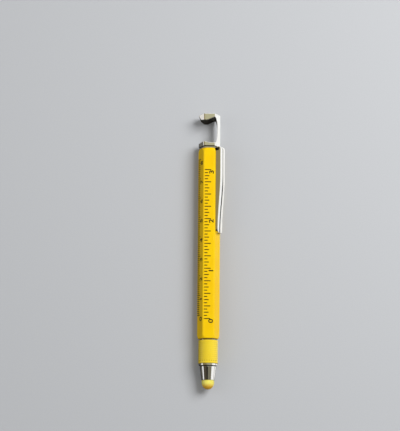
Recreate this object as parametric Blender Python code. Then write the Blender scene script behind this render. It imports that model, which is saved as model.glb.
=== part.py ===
"""Multi tool pen: a hexagonal ballpoint pen with six tools in one barrel.

A bottle opener head pulls out of the top with a double ended screwdriver bit
in its hexagonal holder. A rubber tipped stylus cap pulls off the other end
and bares the ballpoint. The ribbed grip screws out of the barrel with the
refill, and a sprung clip runs along one of the barrel's six faces.

The pen lies along Y on the back flat of its barrel, with the opener towards
+Y, the stylus towards -Y and +Z up. The origin is the middle of that flat.
"""
import math

import bmesh
import bpy
from mathutils import Matrix

MM = 0.001

# Fits that the pieces share
SLIP = 0.15 * MM
FACE_GAP = 0.1 * MM
OVERRUN = 1.0 * MM
WELD = 0.0001 * MM

# Hexagonal barrel
BARREL_LENGTH = 97.6 * MM
BARREL_FLATS = 10.0 * MM
BARREL_CORNER = 1.0 * MM
BARREL_CHAMFER = 0.3 * MM
BARREL_BORE = 8.4 * MM

# Clip: the plate clamped on the barrel's end, and the channel shaped arm
PLATE_THICKNESS = 0.4 * MM
PLATE_INSET = 0.25 * MM
TAB_REACH = 1.2 * MM
TAB_WIDTH = 4.2 * MM
CLIP_LENGTH = 44.0 * MM
CLIP_WIDTH = 4.8 * MM
CLIP_RISE = 2.85 * MM
CLIP_TIP_RISE = 1.15 * MM
CLIP_BEND = 1.0 * MM
CLIP_SHEET = 0.45 * MM
CLIP_EDGE = 0.15 * MM
CLIP_FOLD = 0.05 * MM
CLIP_TIP_ROUND = 1.6 * MM
WALL_TOP_DEPTH = 1.7 * MM
WALL_START = 1.5 * MM
WALL_CLEARANCE = 0.25 * MM
FOOT_RADIUS = 0.8 * MM
FOOT_FROM_TIP = 5.5 * MM
CLIP_FACE_TURN = math.radians(60)

# Top bushing, pressed into the barrel through the clip's plate
BUSHING_LENGTH = 14.0 * MM
BUSHING_FLANGE = 9.2 * MM
FLANGE_THICKNESS = 0.35 * MM
SEAL_SEAT_DEPTH = 3.4 * MM
SEAL_SEAT = 7.3 * MM

# Bottle opener head
HEAD_LENGTH = 16.9 * MM
HEAD_FLATS = 9.8 * MM
HEAD_CORNER = 1.2 * MM
HEAD_CHAMFER = 0.3 * MM
HEAD_BASE = 1.7 * MM
TOOTH_HEIGHT = 0.55 * MM
LIP_THICKNESS = 3.4 * MM
BAR_THICKNESS = 1.8 * MM
STEM_THICKNESS = 1.65 * MM
STEM_BOW = 0.6 * MM
SLOT_FILLET = 1.0 * MM

# Bit holder with its stud, seal ring and magnet
HOLDER_FLATS = 5.9 * MM
HOLDER_HEAD = 6.5 * MM
HOLDER_HEAD_LENGTH = 3.0 * MM
HOLDER_WEB = 1.0 * MM
STUD_DIAMETER = 2.6 * MM
STUD_IN_HEAD = 1.0 * MM
STUD_IN_HOLDER = 4.0 * MM
SEAL_SECTION = 0.8 * MM
SEAL_DIAMETER = 6.1 * MM
MAGNET_THICKNESS = 1.0 * MM

# Double ended screwdriver bit
BIT_FLATS = 4.0 * MM
BIT_HEX_LENGTH = 12.0 * MM
BIT_IN_SOCKET = 7.0 * MM
BIT_NECK = 3.2 * MM
BIT_SHOULDER = 0.5 * MM
BIT_TIP_LENGTH = 7.5 * MM
BIT_FORM_LENGTH = 3.6 * MM
BLADE_THICKNESS = 0.6 * MM
CROSS_END = 0.9 * MM

# Plug between the bit's chamber and the refill
PLUG_THICKNESS = 2.0 * MM

# Threaded insert, and the ring between barrel and grip
INSERT_LENGTH = 6.0 * MM
THREAD_DIAMETER = 6.1 * MM
GRIP_RING_LENGTH = 0.55 * MM
GRIP_RING_DIAMETER = 8.8 * MM

# Ribbed grip collar
COLLAR_LENGTH = 11.5 * MM
COLLAR_DIAMETER = 9.84 * MM
COLLAR_RIM = 0.5 * MM
RIB_PITCH = 1.0 * MM
RIB_DEPTH = 0.2 * MM
GROOVE_WIDTH = 0.45 * MM

# Grip core: the turned tube that carries collar, cap and refill
CORE_SEAT_DIAMETER = 7.5 * MM
SPIGOT_DIAMETER = 5.2 * MM
SPIGOT_LENGTH = 4.2 * MM
CAP_SEAL_SECTION = 0.5 * MM
CAP_SEAL_PLACE = 2.4 * MM
CORE_BORE = 4.2 * MM
CORE_FRONT_BORE = 2.8 * MM
CORE_FRONT_WALL = 3.0 * MM

# Writing nose and refill
NOSE_LENGTH = 4.6 * MM
NOSE_BACK = 4.9 * MM
NOSE_FRONT = 2.9 * MM
NOSE_BORE = 2.3 * MM
REFILL_LENGTH = 67.0 * MM
REFILL_DIAMETER = 2.35 * MM
REFILL_WALL = 0.35 * MM
TIP_BODY_LENGTH = 8.0 * MM
TIP_SPIGOT_LENGTH = 3.0 * MM
TIP_REACH = 2.3 * MM
TIP_END_DIAMETER = 1.2 * MM
TIP_BODY_DIAMETER = 1.9 * MM
BALL_DIAMETER = 0.7 * MM
BALL_ROOM = 0.08 * MM
END_PLUG_LENGTH = 2.5 * MM
RETAINER_LENGTH = 12.0 * MM

# Stylus cap: ring, cone, liner and rubber dome
CAP_RING_LENGTH = 1.3 * MM
CAP_RING_DIAMETER = 9.2 * MM
CONE_LENGTH = 6.8 * MM
CONE_BACK = 8.1 * MM
CONE_FRONT = 6.5 * MM
CONE_MOUTH = 5.5 * MM
CONE_LIP = 0.9 * MM
LINER_WALL = 0.35 * MM
LINER_LENGTH = 4.2 * MM
DOME_LENGTH = 4.5 * MM
DOME_DIAMETER = 6.2 * MM
DOME_STRAIGHT = 1.2 * MM
DOME_NECK_LENGTH = 1.1 * MM
DOME_HOLLOW = 3.9 * MM
DOME_CROWN = 1.1 * MM

# Shares of the sizes above, and counts
EASE_START_share = 0.2
EASE_END_share = 1.0
WALL_FADE_share = 0.14
PLUG_PLACE_share = 0.23
NOSE_TIP_BORE_share = 0.35
NOSE_STEP_share = 0.44
TOOTH_RAMP_shares = (-0.60, -0.31, -0.08)
BEAK_shares = ((-0.16, 0.02), (-0.45, 0.0), (-0.77, 0.18), (-0.97, 0.90))
BLADE_MIDDLE_share = 0.85
CROSS_MIDDLE_share = 0.5
CROSS_DEPTH_share = 0.45

ROUND_STEPS = 28
SMALL_STEPS = 20
FINE_STEPS = 12
OUTLINE_STEPS = 24
CORNER_STEPS = 4
ARC_STEPS = 8
ARM_STEPS = 14
SHARP_ANGLE = math.radians(35)

# Places along the pen, from the middle of the barrel
barrel_top = BARREL_LENGTH / 2
plate_low = barrel_top + FACE_GAP
plate_high = plate_low + PLATE_THICKNESS
flange_low = plate_high + FACE_GAP
flange_high = flange_low + FLANGE_THICKNESS
head_low = flange_high + FACE_GAP
head_high = head_low + HEAD_LENGTH
holder_high = head_low - FACE_GAP
tip_bore_high = holder_high - STUD_IN_HOLDER - FACE_GAP - HOLDER_WEB
magnet_high = tip_bore_high - FACE_GAP
bit_high = magnet_high - MAGNET_THICKNESS - FACE_GAP
hex_high = bit_high - BIT_TIP_LENGTH
hex_low = hex_high - BIT_HEX_LENGTH
bit_low = hex_low - BIT_TIP_LENGTH
holder_low = hex_high - BIT_IN_SOCKET
barrel_low = -barrel_top
ring_high = barrel_low - FACE_GAP
ring_low = ring_high - GRIP_RING_LENGTH
collar_high = ring_low - FACE_GAP
collar_low = collar_high - COLLAR_LENGTH
cap_ring_high = collar_low - FACE_GAP
cap_ring_low = cap_ring_high - CAP_RING_LENGTH
cone_high = cap_ring_low - FACE_GAP
cone_low = cone_high - CONE_LENGTH
dome_high = cone_low - FACE_GAP
dome_low = dome_high - DOME_LENGTH
spigot_low = collar_low - SPIGOT_LENGTH
nose_high = spigot_low - FACE_GAP
nose_low = nose_high - NOSE_LENGTH
refill_low = nose_low - TIP_REACH
refill_high = refill_low + REFILL_LENGTH
plug_low = refill_high + (bit_low - refill_high - PLUG_THICKNESS) * PLUG_PLACE_share
plug_high = plug_low + PLUG_THICKNESS

# Radii that follow from the fits
axis_height = BARREL_FLATS / 2
sleeve_radius = BARREL_BORE / 2 - SLIP
holder_bore_flats = HOLDER_FLATS + 2 * SLIP
thread_radius = THREAD_DIAMETER / 2
liner_bore = SPIGOT_DIAMETER / 2 + SLIP
liner_radius = liner_bore + LINER_WALL
cap_bore = liner_radius + SLIP
refill_radius = REFILL_DIAMETER / 2
refill_bore = refill_radius - REFILL_WALL


def clear_scene():
    for old in list(bpy.data.objects):
        bpy.data.objects.remove(old)


def material(name, colour, roughness, metallic):
    """A Principled material of one colour."""
    made = bpy.data.materials.new(name)
    made.use_nodes = True
    shader = made.node_tree.nodes["Principled BSDF"]
    shader.inputs["Base Color"].default_value = (*colour, 1.0)
    shader.inputs["Roughness"].default_value = roughness
    shader.inputs["Metallic"].default_value = metallic
    return made


def assembly(name, parent=None, place=(0.0, 0.0, 0.0), turn=0.0):
    """An empty that carries the pieces which move together."""
    frame = bpy.data.objects.new(name, None)
    bpy.context.scene.collection.objects.link(frame)
    frame.parent = parent
    frame.location = place
    frame.rotation_euler = (0.0, turn, 0.0)
    return frame


def piece(name, shape, finish, parent):
    """The object of one closed body, shaded smooth up to its sharp edges."""
    bmesh.ops.recalc_face_normals(shape, faces=shape.faces)
    mesh = bpy.data.meshes.new(name)
    shape.to_mesh(mesh)
    shape.free()
    mesh.shade_smooth()
    mesh.set_sharp_from_angle(angle=SHARP_ANGLE)
    mesh.materials.append(finish)
    made = bpy.data.objects.new(name, mesh)
    bpy.context.scene.collection.objects.link(made)
    made.parent = parent
    return made


def combine(target, tool, operation):
    """Cuts a tool out of a piece or joins it on, and hides the tool."""
    tool.hide_render = True
    tool.display_type = "WIRE"
    step = target.modifiers.new(tool.name, "BOOLEAN")
    step.operation = operation
    step.object = tool
    step.solver = "EXACT"


def turned(name, profile, finish, parent, steps=ROUND_STEPS):
    """Spins a profile of (radius, place) round the pen's axis.

    A profile that starts on the axis closes there; any other is a ring.
    """
    shape = bmesh.new()
    verts = [shape.verts.new((radius, place, 0.0)) for radius, place in profile]
    pairs = list(zip(verts, verts[1:]))
    if profile[0][0] > 0.0:
        pairs.append((verts[-1], verts[0]))
    edges = [shape.edges.new(pair) for pair in pairs]
    bmesh.ops.spin(shape, geom=verts + edges, cent=(0.0, 0.0, 0.0), axis=(0.0, 1.0, 0.0),
                   angle=math.tau, steps=steps, use_merge=True)
    bmesh.ops.remove_doubles(shape, verts=shape.verts, dist=WELD)
    return piece(name, shape, finish, parent)


def lofted(name, rings, finish, parent):
    """Joins rings of equally many points and caps the first and last."""
    shape = bmesh.new()
    loops = [[shape.verts.new(point) for point in ring] for ring in rings]
    for low, high in zip(loops, loops[1:]):
        for index in range(len(low)):
            shape.faces.new((low[index - 1], low[index], high[index], high[index - 1]))
    shape.faces.new(loops[0])
    shape.faces.new(loops[-1])
    return piece(name, shape, finish, parent)


def ring_at(place, outline):
    """An outline of (x, z) points, set across the pen at a place along it."""
    return [(x, place, z) for x, z in outline]


def hexagon(flats, corner):
    """A hexagon lying on a flat, with each corner rounded by a short arc."""
    reach = (flats / 2 - corner) / math.cos(math.radians(30))
    points = []
    for side in range(6):
        middle = math.radians(60 * side)
        for step in range(CORNER_STEPS + 1):
            turn = middle + math.radians(60) * (step / CORNER_STEPS - 0.5)
            points.append((reach * math.cos(middle) + corner * math.cos(turn),
                           reach * math.sin(middle) + corner * math.sin(turn)))
    return points


def spaced(radius_at, count=OUTLINE_STEPS):
    """A closed outline whose radius is a function of the angle."""
    angles = [math.tau * step / count for step in range(count)]
    return [(radius_at(angle) * math.cos(angle), radius_at(angle) * math.sin(angle))
            for angle in angles]


def round_outline(radius):
    return spaced(lambda angle: radius)


def hex_outline(flats):
    """A sharp hexagon with points along its sides, to loft into a circle."""
    def radius_at(angle):
        off_corner = angle % math.radians(60) - math.radians(30)
        return flats / 2 / math.cos(off_corner)
    return spaced(radius_at)


def arc(centre, radius, start, end, steps=ARC_STEPS):
    """Points along an arc, with the angles in radians."""
    turns = [start + (end - start) * step / steps for step in range(steps + 1)]
    return [(centre[0] + radius * math.cos(turn), centre[1] + radius * math.sin(turn))
            for turn in turns]


def make_barrel(finish, parent):
    body = hexagon(BARREL_FLATS, BARREL_CORNER)
    end = hexagon(BARREL_FLATS - 2 * BARREL_CHAMFER, BARREL_CORNER)
    barrel = lofted("hex_barrel", [
        ring_at(barrel_low, end),
        ring_at(barrel_low + BARREL_CHAMFER, body),
        ring_at(barrel_top - BARREL_CHAMFER, body),
        ring_at(barrel_top, end),
    ], finish, parent)
    bore = turned("barrel_bore", [
        (0.0, barrel_low - OVERRUN), (BARREL_BORE / 2, barrel_low - OVERRUN),
        (BARREL_BORE / 2, barrel_top + OVERRUN), (0.0, barrel_top + OVERRUN),
    ], finish, parent)
    combine(barrel, bore, "DIFFERENCE")


def make_clip_plate(finish, parent):
    """The hexagonal plate under the bushing's flange, with the clip's tab."""
    flats = BARREL_FLATS - 2 * PLATE_INSET
    points = hexagon(flats, BARREL_CORNER)
    per_corner = CORNER_STEPS + 1
    half = TAB_WIDTH / 2
    reach = BARREL_FLATS / 2 + TAB_REACH
    tab = [(half, flats / 2), (half, reach), (-half, reach), (-half, flats / 2)]
    outline = points[:2 * per_corner] + tab + points[2 * per_corner:]
    plate = lofted("clip_plate", [ring_at(plate_low, outline), ring_at(plate_high, outline)],
                   finish, parent)
    hole = turned("plate_hole", [
        (0.0, plate_low - OVERRUN), (sleeve_radius + SLIP, plate_low - OVERRUN),
        (sleeve_radius + SLIP, plate_high + OVERRUN), (0.0, plate_high + OVERRUN),
    ], finish, parent)
    combine(plate, hole, "DIFFERENCE")


def channel(width, depth, outer, inward):
    """One section of the clip's arm: a sheet with its two edges turned down.

    The section's middle is at (place, height) outer, and inward is the unit
    direction (along, up) from the sheet's outer face to its inner one.
    """
    half = width / 2
    inner = half - CLIP_SHEET
    shape = [(-half + CLIP_EDGE, 0.0), (half - CLIP_EDGE, 0.0), (half, CLIP_EDGE), (half, depth),
             (inner, depth), (inner, CLIP_SHEET), (-inner, CLIP_SHEET), (-inner, depth),
             (-half, depth), (-half, CLIP_EDGE)]
    return [(x, outer[0] + inward[0] * down, outer[1] + inward[1] * down) for x, down in shape]


def make_clip_arm(finish, parent, pivot_place, pivot_height):
    """The sprung arm, from its bend over the barrel's end to its round tip.

    Heights are above the barrel's face, places are along the pen, and the
    mesh is measured from the pivot, where the sheet flexes.
    """
    flat_depth = CLIP_SHEET + CLIP_FOLD
    top = plate_high
    low = barrel_top - CLIP_LENGTH
    start = TAB_REACH + FACE_GAP
    centre = (top - CLIP_BEND, CLIP_RISE - CLIP_BEND)
    rings = [channel(CLIP_WIDTH, flat_depth, (top, start), (-1.0, 0.0))]
    for step in range(ARC_STEPS + 1):
        turn = math.radians(90) * (1 - step / ARC_STEPS)
        inward = (-math.sin(turn), -math.cos(turn))
        outer = (centre[0] - CLIP_BEND * inward[0], centre[1] - CLIP_BEND * inward[1])
        rings.append(channel(CLIP_WIDTH, flat_depth, outer, inward))
    wall_top = barrel_top - WALL_START
    down = (0.0, -1.0)
    rings.append(channel(CLIP_WIDTH, WALL_TOP_DEPTH, (top - CLIP_BEND - FACE_GAP, CLIP_RISE), down))
    rings.append(channel(CLIP_WIDTH, WALL_TOP_DEPTH, (wall_top, CLIP_RISE), down))
    first = wall_top - FACE_GAP
    last = low + CLIP_TIP_ROUND
    for step in range(ARM_STEPS + 1):
        share = step / ARM_STEPS
        eased = min(max((share - EASE_START_share) / (EASE_END_share - EASE_START_share), 0.0), 1.0)
        rise = CLIP_RISE - (CLIP_RISE - CLIP_TIP_RISE) * (1 - math.cos(math.pi * eased)) / 2
        fade = min(max((1 - share) / WALL_FADE_share, 0.0), 1.0)
        depth = flat_depth + (rise - WALL_CLEARANCE - flat_depth) * fade
        rings.append(channel(CLIP_WIDTH, depth, (first + (last - first) * share, rise), down))
    for step in range(1, CORNER_STEPS + 1):
        turn = math.radians(90) * step / CORNER_STEPS
        place = last - CLIP_TIP_ROUND * math.sin(turn)
        width = CLIP_WIDTH * (1 + math.cos(turn)) / 2
        rings.append(channel(width, flat_depth, (place, CLIP_TIP_RISE), down))
    rings = [[(x, place - pivot_place, height - pivot_height) for x, place, height in ring]
             for ring in rings]
    arm = lofted("clip_arm", rings, finish, parent)
    foot_height = WALL_CLEARANCE + FOOT_RADIUS - pivot_height
    foot = bmesh.new()
    bmesh.ops.create_uvsphere(foot, u_segments=FINE_STEPS, v_segments=ARC_STEPS, radius=FOOT_RADIUS,
                              matrix=Matrix.Translation((0.0, low + FOOT_FROM_TIP - pivot_place,
                                                         foot_height)))
    trim = bmesh.ops.bisect_plane(foot, geom=foot.verts[:] + foot.edges[:] + foot.faces[:],
                                  plane_co=(0.0, 0.0, CLIP_TIP_RISE - CLIP_SHEET / 2 - pivot_height),
                                  plane_no=(0.0, 0.0, 1.0), clear_outer=True)
    rim = [edge for edge in trim["geom_cut"] if isinstance(edge, bmesh.types.BMEdge)]
    bmesh.ops.contextual_create(foot, geom=rim)
    combine(arm, piece("clip_foot", foot, finish, parent), "UNION")


def make_bushing(finish, parent):
    """The flanged bushing, with a hexagonal guide under the seal's seat."""
    bushing = turned("top_bushing", [
        (0.0, flange_high), (BUSHING_FLANGE / 2, flange_high), (BUSHING_FLANGE / 2, flange_low),
        (sleeve_radius, flange_low), (sleeve_radius, flange_high - BUSHING_LENGTH),
        (0.0, flange_high - BUSHING_LENGTH),
    ], finish, parent)
    seat = flange_high - SEAL_SEAT_DEPTH
    guide = lofted("guide_bore", [
        ring_at(flange_high - BUSHING_LENGTH - OVERRUN, hex_outline(holder_bore_flats)),
        ring_at(seat, hex_outline(holder_bore_flats)),
        ring_at(seat, round_outline(SEAL_SEAT / 2)),
        ring_at(flange_high + OVERRUN, round_outline(SEAL_SEAT / 2)),
    ], finish, parent)
    combine(bushing, guide, "DIFFERENCE")


def slot_points():
    """The opener's slot: floor with its tooth, bowed stem, bar and beak."""
    half = HEAD_FLATS / 2 / math.cos(math.radians(30))
    outside = -half - OVERRUN
    floor = head_low + HEAD_BASE
    lip = head_high - LIP_THICKNESS
    roof = head_high - BAR_THICKNESS
    wall = half - STEM_THICKNESS
    mouth, crest, foot = [half * share for share in TOOTH_RAMP_shares]
    points = [(outside, floor), (mouth, floor + TOOTH_HEIGHT), (crest, floor + TOOTH_HEIGHT),
              (foot, floor)]
    points.extend(arc((wall - STEM_BOW - SLOT_FILLET, floor + SLOT_FILLET), SLOT_FILLET,
                      math.radians(-90), 0.0, CORNER_STEPS))
    low, high = floor + SLOT_FILLET, roof - SLOT_FILLET
    for step in range(1, ARC_STEPS):
        share = step / ARC_STEPS
        bow = STEM_BOW * (1 - abs(2 * share - 1) ** 3)
        points.append((wall - STEM_BOW + bow, low + (high - low) * share))
    points.extend(arc((wall - STEM_BOW - SLOT_FILLET, roof - SLOT_FILLET), SLOT_FILLET,
                      0.0, math.radians(90), CORNER_STEPS))
    points.extend((half * along, lip + (head_high - lip) * up) for along, up in BEAK_shares)
    points.append((outside, head_high))
    return points


def make_opener(finish, parent):
    body = hexagon(HEAD_FLATS, HEAD_CORNER)
    end = hexagon(HEAD_FLATS - 2 * HEAD_CHAMFER, HEAD_CORNER)
    head = lofted("opener_head", [
        ring_at(head_low, end),
        ring_at(head_low + HEAD_CHAMFER, body),
        ring_at(head_high - HEAD_CHAMFER, body),
        ring_at(head_high, end),
    ], finish, parent)
    reach = HEAD_FLATS / 2 + OVERRUN
    points = slot_points()
    slot = lofted("opener_slot", [[(x, place, -reach) for x, place in points],
                                  [(x, place, reach) for x, place in points]], finish, parent)
    combine(head, slot, "DIFFERENCE")
    hole = turned("stud_hole", [
        (0.0, head_low - OVERRUN), (STUD_DIAMETER / 2 + SLIP, head_low - OVERRUN),
        (STUD_DIAMETER / 2 + SLIP, head_low + STUD_IN_HEAD + FACE_GAP),
        (0.0, head_low + STUD_IN_HEAD + FACE_GAP),
    ], finish, parent, SMALL_STEPS)
    combine(head, hole, "DIFFERENCE")


def make_stud(finish, parent):
    turned("opener_stud", [
        (0.0, head_low + STUD_IN_HEAD), (STUD_DIAMETER / 2, head_low + STUD_IN_HEAD),
        (STUD_DIAMETER / 2, holder_high - STUD_IN_HOLDER), (0.0, holder_high - STUD_IN_HOLDER),
    ], finish, parent, SMALL_STEPS)


def make_holder(finish, parent):
    """The hexagonal holder: stud hole on top, socket and tip bore below."""
    head_end = holder_high - HOLDER_HEAD_LENGTH
    groove = holder_high - HOLDER_HEAD_LENGTH / 2
    groove_half = SEAL_SECTION / 2 + SLIP / 2
    groove_radius = SEAL_DIAMETER / 2 - SEAL_SECTION / 2 - FACE_GAP
    head = round_outline(HOLDER_HEAD / 2)
    neck = round_outline(groove_radius)
    holder = lofted("bit_holder", [
        ring_at(holder_low, hex_outline(HOLDER_FLATS)),
        ring_at(head_end, hex_outline(HOLDER_FLATS)),
        ring_at(head_end, head),
        ring_at(groove - groove_half, head),
        ring_at(groove - groove_half, neck),
        ring_at(groove + groove_half, neck),
        ring_at(groove + groove_half, head),
        ring_at(holder_high, head),
    ], finish, parent)
    stud_bottom = holder_high - STUD_IN_HOLDER - FACE_GAP
    stud_hole = turned("holder_stud_hole", [
        (0.0, stud_bottom), (STUD_DIAMETER / 2 + SLIP, stud_bottom),
        (STUD_DIAMETER / 2 + SLIP, holder_high + OVERRUN), (0.0, holder_high + OVERRUN),
    ], finish, parent, SMALL_STEPS)
    combine(holder, stud_hole, "DIFFERENCE")
    socket = lofted("bit_socket", [
        ring_at(holder_low - OVERRUN, hex_outline(BIT_FLATS + 2 * SLIP)),
        ring_at(hex_high + FACE_GAP, hex_outline(BIT_FLATS + 2 * SLIP)),
        ring_at(hex_high + FACE_GAP, round_outline(BIT_NECK / 2 + SLIP)),
        ring_at(tip_bore_high, round_outline(BIT_NECK / 2 + SLIP)),
    ], finish, parent)
    combine(holder, socket, "DIFFERENCE")


def make_seal(name, diameter, section, place, finish, parent):
    """A rubber ring of round section, its middle circle at a diameter."""
    profile = arc((diameter / 2, place), section / 2, 0.0, math.tau, ARC_STEPS)
    turned(name, profile[:-1], finish, parent, SMALL_STEPS)


def make_magnet(finish, parent):
    radius = BIT_NECK / 2
    turned("bit_magnet", [
        (0.0, magnet_high), (radius, magnet_high),
        (radius, magnet_high - MAGNET_THICKNESS), (0.0, magnet_high - MAGNET_THICKNESS),
    ], finish, parent, SMALL_STEPS)


def make_bit(finish, parent):
    """The bit: a slotted blade below, a hexagon, and a cross point above."""
    neck = BIT_NECK / 2
    blade_start = bit_low + BIT_FORM_LENGTH
    cross_start = bit_high - BIT_FORM_LENGTH

    def blade(share):
        """The neck flattened towards the blade, by a share of the way."""
        flat = 1 - share * (1 - BLADE_THICKNESS / BIT_NECK)
        return [(x, z * flat) for x, z in round_outline(neck)]

    def cross(share):
        """The neck drawn to a point with four flutes, by a share."""
        radius = neck + (CROSS_END / 2 - neck) * share
        depth = CROSS_DEPTH_share * min(2 * share, 1.0)
        return spaced(lambda angle: radius * (1 - depth * (1 - math.cos(4 * angle)) / 2))

    cross_middle = cross_start + BIT_FORM_LENGTH * CROSS_MIDDLE_share
    rings = [ring_at(bit_low, blade(1.0)),
             ring_at((bit_low + blade_start) / 2, blade(BLADE_MIDDLE_share)),
             ring_at(blade_start, blade(0.0)),
             ring_at(hex_low, round_outline(neck)),
             ring_at(hex_low, round_outline(BIT_FLATS / 2)),
             ring_at(hex_low + BIT_SHOULDER, hex_outline(BIT_FLATS)),
             ring_at(hex_high - BIT_SHOULDER, hex_outline(BIT_FLATS)),
             ring_at(hex_high, round_outline(BIT_FLATS / 2)),
             ring_at(hex_high, round_outline(neck)),
             ring_at(cross_start, cross(0.0)),
             ring_at(cross_middle, cross(CROSS_MIDDLE_share)),
             ring_at(bit_high, cross(1.0))]
    lofted("screwdriver_bit", rings, finish, parent)


def make_plug(finish, parent):
    turned("chamber_plug", [
        (0.0, plug_high), (sleeve_radius, plug_high),
        (sleeve_radius, plug_low), (0.0, plug_low),
    ], finish, parent)


def make_insert(finish, parent):
    bore = thread_radius + SLIP
    low = barrel_low + FACE_GAP
    turned("thread_insert", [
        (bore, low), (sleeve_radius, low),
        (sleeve_radius, low + INSERT_LENGTH), (bore, low + INSERT_LENGTH),
    ], finish, parent)


def make_grip_ring(finish, parent):
    bore = thread_radius + SLIP
    turned("grip_ring", [
        (bore, ring_low), (GRIP_RING_DIAMETER / 2, ring_low),
        (GRIP_RING_DIAMETER / 2, ring_high), (bore, ring_high),
    ], finish, parent)


def make_collar(finish, parent):
    """The collar: a sleeve whose outside is turned into fine ribs."""
    radius = COLLAR_DIAMETER / 2
    bore = CORE_SEAT_DIAMETER / 2 + SLIP
    count = int((COLLAR_LENGTH - 2 * COLLAR_RIM) / RIB_PITCH)
    first = (collar_low + collar_high - RIB_PITCH * (count - 1)) / 2
    profile = [(bore, collar_low), (radius - RIB_DEPTH, collar_low)]
    profile.append((radius, collar_low + RIB_DEPTH))
    for rib in range(count):
        middle = first + RIB_PITCH * rib
        profile.extend([(radius, middle - GROOVE_WIDTH / 2), (radius - RIB_DEPTH, middle),
                        (radius, middle + GROOVE_WIDTH / 2)])
    profile.append((radius, collar_high - RIB_DEPTH))
    profile.extend([(radius - RIB_DEPTH, collar_high), (bore, collar_high)])
    turned("grip_collar", profile, finish, parent)


def make_core(finish, parent):
    """The turned tube: thread, collar seat, and the spigot for the cap."""
    seat = CORE_SEAT_DIAMETER / 2
    spigot = SPIGOT_DIAMETER / 2
    back = barrel_low + INSERT_LENGTH
    groove = collar_low - CAP_SEAL_PLACE
    groove_half = CAP_SEAL_SECTION / 2 + SLIP / 2
    groove_radius = spigot - CAP_SEAL_SECTION - FACE_GAP
    wall = spigot_low + CORE_FRONT_WALL
    turned("grip_core", [
        (CORE_BORE / 2, back), (thread_radius, back), (thread_radius, collar_high),
        (seat, collar_high), (seat, collar_low), (spigot, collar_low),
        (spigot, groove + groove_half), (groove_radius, groove + groove_half),
        (groove_radius, groove - groove_half), (spigot, groove - groove_half),
        (spigot, spigot_low), (CORE_FRONT_BORE / 2, spigot_low),
        (CORE_FRONT_BORE / 2, wall), (CORE_BORE / 2, wall),
    ], finish, parent)


def make_nose(finish, parent):
    turned("writing_nose", [
        (NOSE_BORE / 2 + SLIP, nose_high), (NOSE_BACK / 2, nose_high),
        (NOSE_FRONT / 2, nose_low), (TIP_BODY_DIAMETER / 2 + SLIP, nose_low),
        (TIP_BODY_DIAMETER / 2 + SLIP, nose_low + NOSE_LENGTH * NOSE_TIP_BORE_share),
        (NOSE_BORE / 2 + SLIP, nose_low + NOSE_LENGTH * NOSE_STEP_share),
    ], finish, parent, SMALL_STEPS)


def make_refill(tube_finish, tip_finish, ball_finish, plug_finish, parent):
    """Tube, tip, ball and end plug, as in a slim metal refill."""
    tip_back = refill_low + TIP_BODY_LENGTH
    turned("refill_tube", [
        (refill_bore, tip_back + FACE_GAP), (refill_radius, tip_back + FACE_GAP),
        (refill_radius, refill_high), (refill_bore, refill_high),
    ], tube_finish, parent, SMALL_STEPS)
    spigot = refill_bore - SLIP
    ball = BALL_DIAMETER / 2
    cup = ball + BALL_ROOM
    shoulder = nose_low + NOSE_LENGTH * NOSE_STEP_share + SLIP
    turned("refill_tip", [
        (0.0, tip_back + TIP_SPIGOT_LENGTH), (spigot, tip_back + TIP_SPIGOT_LENGTH),
        (spigot, tip_back), (NOSE_BORE / 2, tip_back), (NOSE_BORE / 2, shoulder),
        (TIP_BODY_DIAMETER / 2, shoulder), (TIP_BODY_DIAMETER / 2, nose_low),
        (TIP_END_DIAMETER / 2, refill_low + ball), (cup, refill_low + ball),
        (cup, refill_low + BALL_DIAMETER + BALL_ROOM), (0.0, refill_low + BALL_DIAMETER + BALL_ROOM),
    ], tip_finish, parent, SMALL_STEPS)
    outline = arc((0.0, refill_low + ball), ball, math.radians(90), math.radians(-90))
    profile = [(abs(radius) if 0 < index < ARC_STEPS else 0.0, place)
               for index, (radius, place) in enumerate(outline)]
    turned("refill_ball", profile, ball_finish, parent, FINE_STEPS)
    turned("refill_plug", [
        (0.0, refill_high - END_PLUG_LENGTH), (spigot, refill_high - END_PLUG_LENGTH),
        (spigot, refill_high), (0.0, refill_high),
    ], plug_finish, parent, FINE_STEPS)


def make_retainer(finish, parent):
    """The sleeve that holds the refill in the middle of the core."""
    low = spigot_low + CORE_FRONT_WALL + FACE_GAP
    turned("refill_retainer", [
        (refill_radius + SLIP, low), (CORE_BORE / 2 - SLIP, low),
        (CORE_BORE / 2 - SLIP, low + RETAINER_LENGTH), (refill_radius + SLIP, low + RETAINER_LENGTH),
    ], finish, parent, SMALL_STEPS)


def make_cap(finish, liner_finish, parent):
    """Ring and cone, held together by the liner that grips the spigot."""
    turned("cap_ring", [
        (cap_bore, cap_ring_low), (CAP_RING_DIAMETER / 2, cap_ring_low),
        (CAP_RING_DIAMETER / 2, cap_ring_high), (cap_bore, cap_ring_high),
    ], finish, parent)
    liner_low = cap_ring_high - LINER_LENGTH
    mouth = CONE_MOUTH / 2
    turned("stylus_cone", [
        (cap_bore, cone_high), (CONE_BACK / 2, cone_high), (CONE_FRONT / 2, cone_low),
        (mouth, cone_low), (mouth, cone_low + CONE_LIP),
        (cap_bore, liner_low - FACE_GAP),
    ], finish, parent)
    turned("cap_liner", [
        (liner_bore, cap_ring_high), (liner_radius, cap_ring_high),
        (liner_radius, liner_low), (liner_bore, liner_low),
    ], liner_finish, parent)


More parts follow.
